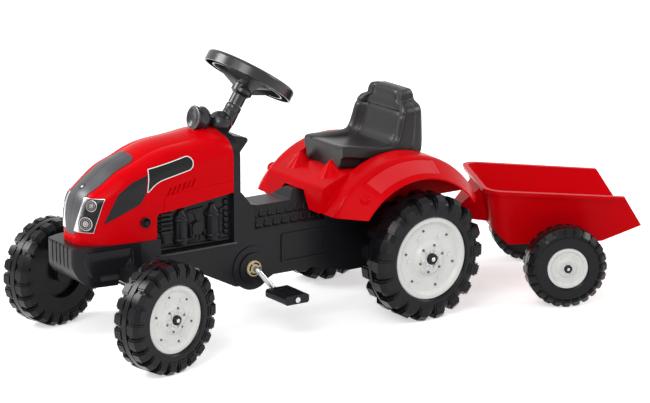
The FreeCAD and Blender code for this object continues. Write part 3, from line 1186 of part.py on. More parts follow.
def seat():
    body = new_body("seat")
    base = "(pedestal_top + body_wall)"
    side = sketch_on(body, "XZ_Plane", "seat_side")
    soft = "seat_round"
    outline(side, [
        ("-seat_front", base), ("seat_rear", base), ("seat_top_rear", "seat_top", soft),
        ("seat_top_front", "seat_top", soft), ("seat_hip_x", "seat_hip", "seat_hip_round"),
        ("-seat_front", "seat_front_top", soft)])
    pad(body, side, "2 * seat_half", both=True)
    hollow = sketch_on(body, "XZ_Plane", "seat_hollow")
    outline(hollow, [
        ("-seat_front + seat_rim", "seat_front_top"),
        ("-seat_front + seat_rim + seat_recess", "seat_front_top - seat_recess - seat_recess / 2"),
        ("seat_hip_x + seat_recess", "seat_hip - seat_recess", "seat_hip_round"),
        ("seat_top_front + seat_recess", "seat_top - seat_crown - seat_recess"),
        ("seat_top_front", "seat_top - seat_crown"),
        ("seat_top_front - overrun", "seat_top - seat_crown"),
        ("-seat_hip_x", "seat_hip + overrun")])
    pocket(body, hollow, "2 * (seat_half - seat_rim)", both=True)
    cavity = sketch_on(body, "XZ_Plane", "seat_cavity")
    outline(cavity, [
        ("-seat_front + seat_wall", f"{base} - overrun"), ("seat_rear - seat_wall", f"{base} - overrun"),
        ("seat_rear - seat_wall", "shoulder_z - 2 * seat_wall"),
        ("seat_top_front + seat_recess + seat_wall", "shoulder_z - 2 * seat_wall"),
        ("seat_hip_x + seat_recess + 3 * seat_wall / 2", "seat_hip - seat_recess - seat_wall"),
        ("-seat_front + seat_wall", "seat_hip - seat_recess - 2 * seat_wall")])
    pocket(body, cavity, "2 * (seat_front_half - seat_wall)", both=True)
    corners = sketch_on(body, "XY_Plane", "seat_corners")
    shoulders = sketch_on(body, "YZ_Plane", "seat_shoulders")
    for way in (1, -1):
        outline(corners, [
            ("-seat_front - overrun", f"{way} * (seat_front_half - overrun / 2)"),
            ("-seat_front", f"{way} * seat_front_half"), ("-seat_side_x", f"{way} * seat_half"),
            ("-seat_side_x", f"{way} * (seat_half + overrun)"),
            ("-seat_front - overrun", f"{way} * (seat_half + overrun)")])
        outline(shoulders, [
            (f"{way} * shoulder_half", "shoulder_z", "shoulder_round"),
            (f"{way} * (seat_half + overrun)", "shoulder_z"),
            (f"{way} * (seat_half + overrun)", "seat_top + overrun"),
            (f"{way} * shoulder_half", "seat_top + overrun")])
    pocket(body, corners, "seat_top", back=True)
    pocket(body, shoulders, "2 * (seat_rear + overrun)", both=True)


# Trailer, in the hitch's frame with X to the rear: an open-backed tub on a drawbar and one axle

def tub_form(grow):
    wires = []
    for z in (size.tub_low - size.overrun, far(size.tub_front_top)):
        share = (z - size.tub_low) / (size.tub_front_top - size.tub_low)
        half = size.tub_low_half + share * (size.tub_top_half - size.tub_low_half) + grow
        front = size.tub_low_front + share * (size.tub_front - size.tub_low_front) - grow
        bend = size.tub_corner + grow
        rear = far(size.tub_rear)
        plan = [(rear, -half), (rear, half), (front, half, bend), (front, -half, bend)]
        wires.append(moved(outline_face(plan, plan_view), z_way * z).OuterWire)
    return Part.makeLoft(wires, True, True)


def trailer_tub():
    wall = size.tub_wall
    wide = 2 * size.tub_top_half
    rise = (size.tub_lip - size.tub_low) / (size.tub_rear - size.tub_low_rear)
    high = far(size.tub_front_top)
    ahead = size.tub_front - size.overrun
    chin = size.tub_low_front + size.tub_round
    side = [(ahead, size.tub_low + chin - ahead), (chin, size.tub_low),
            (size.tub_low_rear, size.tub_low, size.tub_round), (size.tub_rear, size.tub_lip),
            (size.tub_rear_top_x, size.tub_rear_top), (size.tub_front, size.tub_front_top),
            (ahead, size.tub_front_top)]
    outer = prism(side, side_view, y_way, -wide, wide).common(tub_form(0))
    inner_chin = chin + wall * (math.sqrt(2) - 1)
    inside = [(ahead, size.tub_low + wall + inner_chin - ahead), (inner_chin, size.tub_low + wall),
              (size.tub_low_rear, size.tub_low + wall, size.tub_round),
              (size.tub_rear + size.overrun, size.tub_lip + wall + rise * size.overrun),
              (size.tub_rear + size.overrun, high), (ahead, high)]
    room = prism(inside, side_view, y_way, -wide, wide).common(tub_form(-wall))
    grow = size.tub_flange
    drop = size.tub_flange_height
    edge = [(size.tub_front - grow, size.tub_front_top), (size.tub_front - grow, size.tub_front_top - drop),
            (size.tub_rear_top_x, size.tub_rear_top - drop), (size.tub_rear_top_x, size.tub_rear_top),
            (size.tub_front, size.tub_front_top)]
    flange = prism(edge, side_view, y_way, -wide, wide).common(tub_form(grow))
    eye = size.drawbar_half
    bend = eye * end_round_share
    base = size.hitch_z + size.free_gap
    plan = [(-eye, -eye, bend), (size.drawbar_neck, -eye), (size.tub_low_front, -size.drawbar_root_half),
            (size.tub_low_front, size.drawbar_root_half), (size.drawbar_neck, eye), (-eye, eye, bend)]
    profile = [(-eye, base), (size.drawbar_neck, base), (size.tub_low_front, size.drawbar_root_low),
               (size.tub_low_front, size.drawbar_root_top), (size.tub_front, size.drawbar_root_top),
               (size.drawbar_neck, base + size.drawbar_height), (-eye, base + size.drawbar_height)]
    bar = prism(plan, plan_view, z_way, 0, high).common(prism(profile, side_view, y_way, -wide, wide))
    axle = side_view(size.cart_axle_x, size.cart_radius)
    leg = size.carrier_radius
    curl = leg * end_round_share
    feet = []
    for way in (1, -1):
        top = size.tub_low + wall / 2
        foot = [(axle.x - leg, axle.z - leg, curl), (axle.x + leg, axle.z - leg, curl),
                (axle.x + size.carrier_foot, top), (axle.x - size.carrier_foot, top)]
        near, thick = way * size.carrier_y, size.carrier_thick
        feet.append(prism(foot, side_view, y_way, near - thick / 2, near + thick / 2))
    shape = outer.multiFuse([flange, bar] + feet).cut(room)
    shape = shape.cut(rod(size.hitch_pin_radius + size.fit_gap, Vector(0, 0, 0), z_way * high))
    shape = shape.cut(rod(size.shaft_radius, axle - y_way * wide, axle + y_way * wide))
    solid("trailer_tub", shape.removeSplitter(), trailer_place)


# Build order: fixed shells first, since the collar and pod are cut to them

wheels("rear", {"left": "rear_left", "right": "rear_right"})
wheels("front", {"left": "front_left", "right": "front_right"})
wheels("cart", {"left": "trailer_left", "right": "trailer_right"})
stepped_axle("rear_axle", "rear", Placement(Vector(0, 0, size.rear_radius), Rotation()))
cart_axle_place = Placement(Vector(size.cart_axle_x, 0, size.cart_radius), Rotation())
stepped_axle("trailer_axle", "cart", trailer_place * cart_axle_place)
front_axle()
for side in sign:
    knuckle(side)
    kingpin_cap(side)
    pedal(side)
    turn = outward[side]
    bush(f"{side}_crank_bush", "crank_radius", Placement(Vector(crank_x, 0, crank_z), turn))
    bush(f"{side}_axle_bush", "shaft_radius", Placement(Vector(0, 0, size.rear_radius), turn))
tie_rod()
steering_wheel()
steering_rod()
crank()
chain_turn = Rotation(y_way, chain_tilt + 180 / size.sprocket_count)
sprocket("crank_sprocket", "crank_radius", Placement(Vector(crank_x, size.chain_y, crank_z), chain_turn))
sprocket("rear_sprocket", "shaft_radius", Placement(Vector(0, size.chain_y, size.rear_radius), chain_turn))
drive_chain()
hood()
films()
solid("dash_console", dash.cut(column_hole))
column_collar()
dash_pod()
chassis()
hitch()
rear_body()
seat()
trailer_tub()
doc.recompute()

for made in doc.Objects:
    if "Invalid" in made.State or "Error" in made.State:
        raise RuntimeError(f"{made.Label} failed: {made.State}")
for label, made in pieces.items():
    if made.Shape.isNull() or not made.Shape.isValid() or not made.Shape.Solids:
        raise RuntimeError(f"{label} has no valid solid")

os.makedirs("parts", exist_ok=True)
for label, made in pieces.items():
    made.Shape.exportStep(f"parts/{label}.step")
print(len(pieces), "pieces")
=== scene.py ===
import bmesh
import bpy
import json
import math
from mathutils import Matrix, Vector
from mathutils.bvhtree import BVHTree


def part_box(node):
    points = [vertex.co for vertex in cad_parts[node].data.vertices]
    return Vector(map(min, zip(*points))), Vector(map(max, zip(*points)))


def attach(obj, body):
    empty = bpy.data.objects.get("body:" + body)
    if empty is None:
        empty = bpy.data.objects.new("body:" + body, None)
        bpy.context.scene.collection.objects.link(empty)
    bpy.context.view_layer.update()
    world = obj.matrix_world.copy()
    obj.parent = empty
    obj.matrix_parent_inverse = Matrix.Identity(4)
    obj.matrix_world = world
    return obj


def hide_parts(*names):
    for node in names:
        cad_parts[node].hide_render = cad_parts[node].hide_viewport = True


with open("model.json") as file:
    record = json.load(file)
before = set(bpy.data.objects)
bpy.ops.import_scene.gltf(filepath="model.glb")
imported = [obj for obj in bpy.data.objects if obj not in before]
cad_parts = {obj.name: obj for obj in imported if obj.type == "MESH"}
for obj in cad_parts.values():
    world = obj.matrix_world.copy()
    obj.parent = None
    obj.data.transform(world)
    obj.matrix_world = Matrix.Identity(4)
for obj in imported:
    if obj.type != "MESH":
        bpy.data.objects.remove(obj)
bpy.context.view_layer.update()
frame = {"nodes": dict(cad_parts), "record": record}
nodes = frame["nodes"]
joints = {row["name"]: row for row in frame["record"]["behaviour"]["joints"]}
scene = bpy.context.scene
scene.view_settings.view_transform = "Standard"
mm = 0.001
sides = {"left": -1, "right": 1}  # the tractor's left is -Y
print("frame loaded:", len(nodes), "nodes")


# Small helpers

def linearColour(hexValue):  # sRGB hex to linear RGBA
    parts = [int(hexValue[i:i + 2], 16) / 255 for i in (1, 3, 5)]
    return [p / 12.92 if p <= 0.04045 else ((p + 0.055) / 1.055) ** 2.4 for p in parts] + [1.0]


def addNode(tree, kind, settings=None, links=None):
    node = tree.nodes.new(kind)
    for key, value in (settings or {}).items():
        if isinstance(key, int) or key in node.inputs:
            node.inputs[key].default_value = value
        else:
            setattr(node, key, value)
    for key, source in (links or {}).items():
        tree.links.new(source, node.inputs[key])
    return node


def newMaterial(name):
    material = bpy.data.materials.new(name)
    material.use_nodes = True
    tree = material.node_tree
    tree.nodes.clear()
    return material, tree


def perMm(size):  # noise scale whose grain is about this many millimetres
    return 1000 / size


def at(x, y, z):  # a point given in millimetres
    return Vector((x, y, z)) * mm


def finishPiece(bm, name, materials, body, smooth=True, recalc=True):
    bmesh.ops.remove_doubles(bm, verts=bm.verts, dist=1e-6)
    if recalc:
        bmesh.ops.recalc_face_normals(bm, faces=bm.faces)
    mesh = bpy.data.meshes.new(name)
    bm.to_mesh(mesh)
    bm.free()
    for material in materials:
        mesh.materials.append(material)
    for polygon in mesh.polygons:
        polygon.use_smooth = smooth
    piece = bpy.data.objects.new(name, mesh)
    scene.collection.objects.link(piece)
    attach(piece, body)
    return piece


def surfaceOf(nodeName):  # ray caster on a CAD node's surface
    bm = bmesh.new()
    bm.from_mesh(nodes[nodeName].data)
    tree = BVHTree.FromBMesh(bm)
    bm.free()
    return tree


def landing(tree, point, way):  # where a point drops onto a surface along -way
    hit, normal, _, _ = tree.ray_cast(point + way, -way)
    if hit is None:
        hit, normal, _, _ = tree.find_nearest(point)
    return hit, normal


def standOn(bm, verts, point, normal):  # turn a shape built along +Z to stand on a surface
    turn = normal.to_track_quat("Z", "Y").to_matrix().to_4x4()
    bmesh.ops.transform(bm, matrix=Matrix.Translation(point) @ turn, verts=verts)


def spinProfile(bm, profile, steps=32):  # a profile of (radius, height) in mm, spun round Z
    verts = [bm.verts.new(at(radius, 0, height)) for radius, height in profile]
    edges = [bm.edges.new(pair) for pair in zip(verts, verts[1:])]
    bmesh.ops.spin(bm, geom=verts + edges, cent=(0, 0, 0), axis=(0, 0, 1), angle=math.tau, steps=steps,
                   use_merge=True, use_duplicate=False)


def spinAt(bm, profile, steps, point, normal):  # spin a profile and stand it on a surface
    before = set(bm.verts)
    spinProfile(bm, profile, steps=steps)
    standOn(bm, [v for v in bm.verts if v not in before], point, normal)


def roundedBar(bm, start, end, width, height, up, bevelMm):  # a moulded bar between two points
    along = end - start
    before = set(bm.verts)
    bmesh.ops.create_cube(bm, size=1)
    fresh = [v for v in bm.verts if v not in before]
    across = up.cross(along.normalized()).normalized()
    turn = Matrix((along.normalized(), across, up)).transposed().to_4x4()
    scale = Matrix.Diagonal((along.length, width * mm, height * mm, 1))
    bmesh.ops.transform(bm, matrix=Matrix.Translation((start + end) / 2) @ turn @ scale, verts=fresh)
    edges = [e for e in bm.edges if e.verts[0] in fresh and e.verts[1] in fresh]
    bmesh.ops.bevel(bm, geom=edges, offset=bevelMm * mm, affect="EDGES", segments=2, profile=0.5,
                    material=-1)


# Camera: the photograph's angle, a long lens from the tractor's front left
cameraFacts = {"azimuth": -33.9, "elevation": 14.5, "target": (-0.1255, 0.0, 0.2207), "distance": 5.5507,
               "lens": 150.2, "sensor": 36, "shiftX": 0.0072, "shiftY": 0.0003}


def makeCamera(facts):
    data = bpy.data.cameras.new("photoCamera")
    data.lens = facts["lens"]
    data.sensor_width = facts["sensor"]
    data.shift_x, data.shift_y = facts["shiftX"], facts["shiftY"]
    camera = bpy.data.objects.new("photoCamera", data)
    scene.collection.objects.link(camera)
    turn, rise = math.radians(facts["azimuth"]), math.radians(facts["elevation"])
    back = Vector((math.sin(turn) * math.cos(rise), -math.cos(turn) * math.cos(rise), math.sin(rise)))
    camera.location = Vector(facts["target"]) + back * facts["distance"]
    camera.rotation_mode = "QUATERNION"
    camera.rotation_quaternion = (-back).to_track_quat("-Z", "Y")
    scene.camera = camera


makeCamera(cameraFacts)
print("camera set")


# Stage: a white floor that keeps a faint shadow, an even white sky and soft lamps
stageFacts = {"floorHalf": 30, "floorColour": "#f4f4f4", "floorGlow": 0.55, "skyLight": 0.42,
              "sunStrength": 0.82, "sunAngle": 40, "sunTurn": (42, 0, -58), "aim": (-0.1, 0, 0.2), "lamps": [
                  {"name": "frontBox", "at": (-2.6, -2.4, 2.4), "size": 1.4, "power": 38},
                  {"name": "rearBox", "at": (2.6, -1.6, 2.2), "size": 1.2, "power": 40},
                  {"name": "farBox", "at": (-2.2, 1.5, 2.0), "size": 1.2, "power": 60}]}


def seenByCamera(tree):  # 1 for camera, glossy and transmission rays, else 0
    path = addNode(tree, "ShaderNodeLightPath")
    seen = addNode(tree, "ShaderNodeMath", {"operation": "MAXIMUM"},
                   {0: path.outputs["Is Camera Ray"], 1: path.outputs["Is Glossy Ray"]})
    return addNode(tree, "ShaderNodeMath", {"operation": "MAXIMUM"},
                   {0: seen.outputs[0], 1: path.outputs["Is Transmission Ray"]}).outputs[0]


def makeStage(facts):
    bm = bmesh.new()
    bmesh.ops.create_grid(bm, x_segments=1, y_segments=1, size=facts["floorHalf"])
    mesh = bpy.data.meshes.new("floor")
    bm.to_mesh(mesh)
    bm.free()
    floor = bpy.data.objects.new("floor", mesh)
    scene.collection.objects.link(floor)
    material, tree = newMaterial("studioPaper")  # matt white paper sweep, lifted to white for the camera
    paper = addNode(tree, "ShaderNodeBsdfDiffuse", {"Color": linearColour(facts["floorColour"])})
    lift = addNode(tree, "ShaderNodeMath", {"operation": "MULTIPLY", 1: facts["floorGlow"]},
                   {0: seenByCamera(tree)})
    glow = addNode(tree, "ShaderNodeEmission", {"Color": (1, 1, 1, 1)}, {"Strength": lift.outputs[0]})
    both = addNode(tree, "ShaderNodeAddShader", links={0: paper.outputs[0], 1: glow.outputs[0]})
    addNode(tree, "ShaderNodeOutputMaterial", links={"Surface": both.outputs[0]})
    floor.data.materials.append(material)

    world = bpy.data.worlds.new("whiteStudio")
    world.use_nodes = True
    tree = world.node_tree
    tree.nodes.clear()
    level = addNode(tree, "ShaderNodeMapRange", {"To Min": facts["skyLight"], "To Max": 1.0},
                    {"Value": seenByCamera(tree)})
    sky = addNode(tree, "ShaderNodeBackground", {"Color": (1, 1, 1, 1)}, {"Strength": level.outputs[0]})
    addNode(tree, "ShaderNodeOutputWorld", links={"Surface": sky.outputs[0]})
    scene.world = world

    sunData = bpy.data.lights.new("sun", "SUN")
    sunData.energy = facts["sunStrength"]
    sunData.angle = math.radians(facts["sunAngle"])
    sun = bpy.data.objects.new("sun", sunData)
    sun.rotation_euler = [math.radians(a) for a in facts["sunTurn"]]
    scene.collection.objects.link(sun)
    for lamp in facts["lamps"]:
        data = bpy.data.lights.new(lamp["name"], "AREA")
        data.size = lamp["size"]
        data.energy = lamp["power"]
        obj = bpy.data.objects.new(lamp["name"], data)
        obj.location = lamp["at"]
        obj.rotation_mode = "QUATERNION"
        obj.rotation_quaternion = (Vector(facts["aim"]) - obj.location).to_track_quat("-Z", "Y")
        scene.collection.objects.link(obj)


makeStage(stageFacts)
print("stage set")


# Materials
peelDepth = 0.4  # depth of the orange peel in mm


def noiseAt(tree, place, size, detail):  # noise with a grain of about this many millimetres
    return addNode(tree, "ShaderNodeTexNoise", {"Scale": perMm(size), "Detail": detail},
                   {"Vector": place}).outputs["Fac"]


def cloudedFinish(tree, facts, cloud):  # a colour and a gloss that drift with the same noise
    tint = addNode(tree, "ShaderNodeMix", {"data_type": "RGBA", 6: linearColour(facts["colour"]),
                                           7: linearColour(facts["shade"])}, {0: cloud})
    gloss = addNode(tree, "ShaderNodeMapRange", {"To Min": facts["rough"][0], "To Max": facts["rough"][1]},
                    {"Value": cloud})
    return tint.outputs[2], gloss.outputs[0]


def colourRamp(tree, value, ends, stops):  # the colours at 0 and 1, and (place, colour) between them
    node = addNode(tree, "ShaderNodeValToRGB", links={0: value})
    for element, colour in zip(node.color_ramp.elements, ends):
        element.color = linearColour(colour)
    for share, colour in stops:
        node.color_ramp.elements.new(share).color = linearColour(colour)
    return node.outputs[0]


def mouldedPlastic(name, facts):
    # Moulded plastic, vinyl or ink: a soft sheen, a faint orange peel and slightly uneven gloss
    material, tree = newMaterial(name)
    place = addNode(tree, "ShaderNodeTexCoord").outputs["Object"]
    tint, gloss = cloudedFinish(tree, facts, noiseAt(tree, place, facts["cloudMm"], 3.0))
    bump = addNode(tree, "ShaderNodeBump", {"Strength": facts["peel"], "Distance": peelDepth * mm},
                   {"Height": noiseAt(tree, place, facts["peelMm"], 2.0)})
    shader = addNode(tree, "ShaderNodeBsdfPrincipled",
                     {"IOR": facts["ior"], "Specular IOR Level": facts["shine"]},
                     {"Base Color": tint, "Roughness": gloss, "Normal": bump.outputs[0]})
    addNode(tree, "ShaderNodeOutputMaterial", links={"Surface": shader.outputs[0]})
    return material


redMoulding = mouldedPlastic("glossRedPolyethylene", {
    "colour": "#cf030e", "shade": "#c6010b", "cloudMm": 160, "rough": (0.2, 0.26), "peelMm": 9, "peel": 0.04,
    "ior": 1.5, "shine": 0.035})
# a lighter, pinker red than the body: a painted reflection on the flat inlay, over real extra gloss
redSatinPaintedSheen = mouldedPlastic("satinRedPaintedSheen", {
    "colour": "#d01420", "shade": "#c80f1a", "cloudMm": 160, "rough": (0.3, 0.36), "peelMm": 9, "peel": 0.04,
    "ior": 1.5, "shine": 0.3})
blackMoulding = mouldedPlastic("satinBlackPolyethylene", {
    "colour": "#1a1a1d", "shade": "#141417", "cloudMm": 60, "rough": (0.26, 0.36), "peelMm": 3, "peel": 0.1,
    "ior": 1.5, "shine": 0.18})
tyreMoulding = mouldedPlastic("tyreBlackPolyethylene", {
    "colour": "#161619", "shade": "#0f0f12", "cloudMm": 70, "rough": (0.18, 0.28), "peelMm": 3, "peel": 0.08,
    "ior": 1.5, "shine": 0.18})
whiteMoulding = mouldedPlastic("whitePolypropylene", {
    "colour": "#dcdcda", "shade": "#d0d0cd", "cloudMm": 50, "rough": (0.22, 0.34), "peelMm": 5, "peel": 0.05,
    "ior": 1.49, "shine": 0.35})
seatMoulding = mouldedPlastic("grainedSeatPolyethylene", {
    "colour": "#232020", "shade": "#191716", "cloudMm": 45, "rough": (0.26, 0.36), "peelMm": 1.6,
    "peel": 0.14, "ior": 1.5, "shine": 0.3})
windowFilm = mouldedPlastic("darkVinylFilm", {
    "colour": "#232326", "shade": "#1c1c1f", "cloudMm": 40, "rough": (0.3, 0.36), "peelMm": 9, "peel": 0.02,
    "ior": 1.5, "shine": 0.18})
panelFilm = mouldedPlastic("blackPanelFilm", {
    "colour": "#171b18", "shade": "#121513", "cloudMm": 40, "rough": (0.3, 0.36), "peelMm": 9, "peel": 0.02,
    "ior": 1.5, "shine": 0.2})
whitePrint = mouldedPlastic("whitePrintingInk", {
    "colour": "#f2f2f0", "shade": "#e8e8e6", "cloudMm": 30, "rough": (0.34, 0.4), "peelMm": 4, "peel": 0.02,
    "ior": 1.5, "shine": 0.2})
# black printing ink for the lamp rings, and painted shade where it fills the screw slots and the bush pockets
darkInkAndPaintedShade = mouldedPlastic("blackInkAndPaintedShade", {
    "colour": "#1b1a1c", "shade": "#141315", "cloudMm": 30, "rough": (0.34, 0.4), "peelMm": 4, "peel": 0.02,
    "ior": 1.5, "shine": 0.2})
greyPrint = mouldedPlastic("greyPrintingInk", {
    "colour": "#8b8387", "shade": "#756d71", "cloudMm": 6, "rough": (0.34, 0.4), "peelMm": 4, "peel": 0.02,
    "ior": 1.5, "shine": 0.2})
podLacquer = mouldedPlastic("graphiteLacquer", {
    "colour": "#2f2f33", "shade": "#28282c", "cloudMm": 60, "rough": (0.2, 0.28), "peelMm": 5, "peel": 0.03,
    "ior": 1.5, "shine": 0.4})
bushNylon = mouldedPlastic("creamNylon", {
    "colour": "#cbbd93", "shade": "#b9a97c", "cloudMm": 8, "rough": (0.35, 0.5), "peelMm": 1, "peel": 0.1,
    "ior": 1.53, "shine": 0.35})
capMoulding = mouldedPlastic("blackPushOnCap", {
    "colour": "#19191b", "shade": "#121214", "cloudMm": 12, "rough": (0.3, 0.42), "peelMm": 1, "peel": 0.1,
    "ior": 1.5, "shine": 0.2})
# mid grey for white moulded bolt heads: painted shade standing for their shadows
boltPaintedShade = mouldedPlastic("greyBoltPaintedShade", {
    "colour": "#5c5c5e", "shade": "#4e4e50", "cloudMm": 6, "rough": (0.3, 0.42), "peelMm": 1, "peel": 0.1,
    "ior": 1.5, "shine": 0.3})
glossBlack = mouldedPlastic("glossBlackPolypropylene", {
    "colour": "#232326", "shade": "#1c1c1f", "cloudMm": 60, "rough": (0.2, 0.28), "peelMm": 4, "peel": 0.05,
    "ior": 1.5, "shine": 0.45})


def platedSteel(name, facts):
    # Bright zinc plating or silver foil: a slightly cloudy metal with uneven gloss
    material, tree = newMaterial(name)
    place = addNode(tree, "ShaderNodeTexCoord").outputs["Object"]
    tint, gloss = cloudedFinish(tree, facts, noiseAt(tree, place, facts["cloudMm"], 4.0))
    shader = addNode(tree, "ShaderNodeBsdfPrincipled", {"Metallic": 1.0},
                     {"Base Color": tint, "Roughness": gloss})
    addNode(tree, "ShaderNodeOutputMaterial", links={"Surface": shader.outputs[0]})
    return material


zincSteel = platedSteel("zincPlatedSteel", {"colour": "#c9cacc", "shade": "#aeb0b3", "cloudMm": 6,
                                            "rough": (0.16, 0.3)})
chromeInk = platedSteel("silverFoilPrint", {"colour": "#b9b1b4", "shade": "#8d8588", "cloudMm": 5,
                                            "rough": (0.2, 0.34)})


def lampFilm(name, facts):
    # Printed lamp sticker: silver foil that is bright on the nose side as a painted reflection and darkens
    # round the corner, partly as a dark printed border and partly as painted shade, with fine streaks
    material, tree = newMaterial(name)
    place = addNode(tree, "ShaderNodeTexCoord").outputs["Object"]
    parts = addNode(tree, "ShaderNodeSeparateXYZ", links={0: place})
    out = addNode(tree, "ShaderNodeMath", {"operation": "ABSOLUTE"}, {0: parts.outputs["Y"]})
    across = addNode(tree, "ShaderNodeMapRange",
                     {"From Min": facts["near"] * mm, "From Max": facts["far"] * mm},
                     {"Value": out.outputs[0]})
    blend = addNode(tree, "ShaderNodeMath", {"operation": "MULTIPLY_ADD", 1: facts["streak"]},
                    {0: noiseAt(tree, place, facts["streakMm"], 2.0), 2: across.outputs[0]})
    first, *between, last = facts["colours"]
    colour = colourRamp(tree, blend.outputs[0], (first, last), zip(facts["places"], between))
    shader = addNode(tree, "ShaderNodeBsdfPrincipled",
                     {"IOR": facts["ior"], "Metallic": facts["metal"], "Roughness": facts["rough"],
                      "Specular IOR Level": facts["shine"]}, {"Base Color": colour})
    addNode(tree, "ShaderNodeOutputMaterial", links={"Surface": shader.outputs[0]})
    return material


# bright to dark by distance from the middle: a painted reflection on the nose side, painted shade and a dark
# border round the corner
lampStickerPaintedLight = lampFilm("foilLampStickerPaintedLight", {
    "near": 16, "far": 66, "streakMm": 12, "streak": 0.12, "places": (0.3, 0.42, 0.55),
    "colours": ("#f4f4f4", "#e6e6e6", "#77777b", "#1d1d1f", "#141416"),
    "ior": 1.5, "metal": 0.1, "rough": 0.24, "shine": 0.2})


def grilleFilm(name, facts):
    # Grey vinyl over the folded nose with painted light: one half is painted lighter as if it caught more
    # light, and a dark line of painted shade runs along the fold
    material, tree = newMaterial(name)
    place = addNode(tree, "ShaderNodeTexCoord").outputs["Object"]
    parts = addNode(tree, "ShaderNodeSeparateXYZ", links={0: place})
    across = addNode(tree, "ShaderNodeMapRange",
                     {"From Min": -facts["half"] * mm, "From Max": facts["half"] * mm},
                     {"Value": parts.outputs["Y"]})
    near, far, foldShade, line = facts["near"], facts["far"], facts["foldShade"], facts["line"]
    stops = ((-line, near), (-line / 2, foldShade), (line / 2, foldShade), (line, far))
    colour = colourRamp(tree, across.outputs[0], (near, far), [(0.5 + step, tint) for step, tint in stops])
    shader = addNode(tree, "ShaderNodeBsdfPrincipled", {"IOR": facts["ior"], "Roughness": facts["rough"]},
                     {"Base Color": colour})
    addNode(tree, "ShaderNodeOutputMaterial", links={"Surface": shader.outputs[0]})
    return material


# the two halves differ as painted light, and the fold colour is a line of painted shade
noseFilm = grilleFilm("greyNoseVinylPaintedLight", {"half": 36, "line": 0.028, "near": "#38383c", "far": "#303034",
                                        "foldShade": "#19191c", "ior": 1.5, "rough": 0.36})

finishOf = {"red_plastic": redMoulding, "black_plastic": blackMoulding, "tyre_plastic": tyreMoulding,
            "white_plastic": whiteMoulding, "cap_plastic": capMoulding, "grey_film": windowFilm,
            "lamp_film": lampStickerPaintedLight, "panel_film": panelFilm, "pod_plastic": podLacquer,
            "zinc_steel": zincSteel, "cream_bush": bushNylon}
for row in frame["record"]["subparts"]:
    obj = nodes[row["node"]]
    obj.data.materials.clear()
    obj.data.materials.append(finishOf[row["material_slot"]])
nodes["grille_film"].data.materials[0] = noseFilm
for name in ("steering_wheel", "steering_wheel_cap"):
    nodes[name].data.materials[0] = glossBlack
print("materials assigned")


# Seat: a hard moulded bucket, lofted from rings that run back along the pan and up the backrest
seatFacts = {
    # each ring: front face x, z; back face x, z; half width; bolster height
    "rings": [(-117, 339, -117, 303, 66, 0), (-118, 344, -118, 300.5, 70, 1.5),
              (-112, 346, -112, 300, 72, 3),
              (-98, 343.5, -98, 300, 77, 5), (-70, 337, -70, 300, 90, 8), (-35, 333, -35, 300, 93, 10),
              (-8, 333, 8, 300, 93, 11), (8, 338, 60, 300.5, 93, 12), (15, 348, 72, 318, 93, 12),
              (21, 366, 72.5, 350, 92, 12), (26, 386, 72.5, 380, 90, 12), (28.6, 396, 72.5, 394, 89, 11.5),
              (32, 399, 72.5, 398, 88.5, 10.5), (29.8, 402, 72.5, 402, 88, 10), (31, 409, 72.5, 409, 85, 7),
              (32.5, 416, 72.5, 415, 78, 4), (33, 419.5, 72, 419, 66, 1), (33.3, 422, 72, 422, 61.5, 0),
              (34.5, 434, 71, 434, 60, 0), (38, 441.5, 68, 441.5, 56, 0), (46, 445.5, 62, 445.5, 48, 0)],
    # across the front face: share of the half width, bolster share, groove depth in mm
    "across": [(0, 0, 0), (0.35, 0, 0), (0.6, 0, 0), (0.66, 0, 2.4), (0.72, 0.45, 0), (0.82, 0.9, 0),
               (0.93, 1, 0), (1, 0.55, 0)],
    # down the side: share of the way to the back face, inset in mm
    "down": [(0.22, 0), (0.44, 0), (0.5, 7), (0.97, 9)], "under": 0.4,
    # edge sharpness by the point's place in a ring, and by ring
    "creases": {7: 0.4, 9: 0.85, 10: 0.8, 11: 0.6}, "ringCreases": {1: 0.55, 12: 0.3, 17: 0.5, 19: 0.35}}


def seatRing(bm, ring, facts):
    frontX, frontZ, backX, backZ, half, bolster = ring
    front, back = at(frontX, 0, frontZ), at(backX, 0, backZ)
    out = (front - back).normalized()
    near = [(share * half, front + out * (bolster * rise - groove) * mm)
            for share, rise, groove in facts["across"]]
    near += [(half - inset, front.lerp(back, share)) for share, inset in facts["down"]]
    near.append(((half - facts["down"][-1][1]) * facts["under"], back))
    loop = near + [(-y, point) for y, point in reversed(near[1:])]
    verts = [bm.verts.new(point + at(0, y, 0)) for y, point in loop]
    return verts, [bm.edges.new((v, verts[(i + 1) % len(verts)])) for i, v in enumerate(verts)]


def makeSeat(facts):
    bm = bmesh.new()
    crease = bm.edges.layers.float.new("crease_edge")
    rings = [seatRing(bm, ring, facts) for ring in facts["rings"]]
    for (_, low), (_, high) in zip(rings, rings[1:]):
        bmesh.ops.bridge_loops(bm, edges=low + high)
    for _, loop in (rings[0], rings[-1]):
        bmesh.ops.edgeloop_fill(bm, edges=loop)
    for (low, _), (high, _) in zip(rings, rings[1:]):
        for step, sharp in facts["creases"].items():
            for number in (step, len(low) - step):
                edge = bm.edges.get((low[number], high[number]))
                if edge:
                    edge[crease] = sharp
    for number, sharp in facts["ringCreases"].items():
        for edge in rings[number][1]:
            edge[crease] = sharp
    piece = finishPiece(bm, "seatShell", [seatMoulding], "tractor")
    smooth = piece.modifiers.new("soften", "SUBSURF")
    smooth.levels = smooth.render_levels = 2
    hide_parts("seat")


makeSeat(seatFacts)
print("seat made")


# Column boot: the round cover at the column's foot, with a short neck up to the wheel's sleeve
bootFacts = {"ball": (-366, 0, 416), "radius": 25, "columnBase": (-294, 0, 505),
             "neck": [(15, -114), (16.4, -100), (16.2, -82), (15.6, -81), (15.6, -79.5), (16.2, -78.5),
                      (16.2, -70), (15.6, -68.6), (14.2, -67.4), (12, -67.2)],
             "hole": {"at": (-377, 20, 415),
                      "profile": [(4.2, -0.4), (3.8, 0.3), (3.4, 0.1), (3.1, -2.5), (0, -2.6)]}}


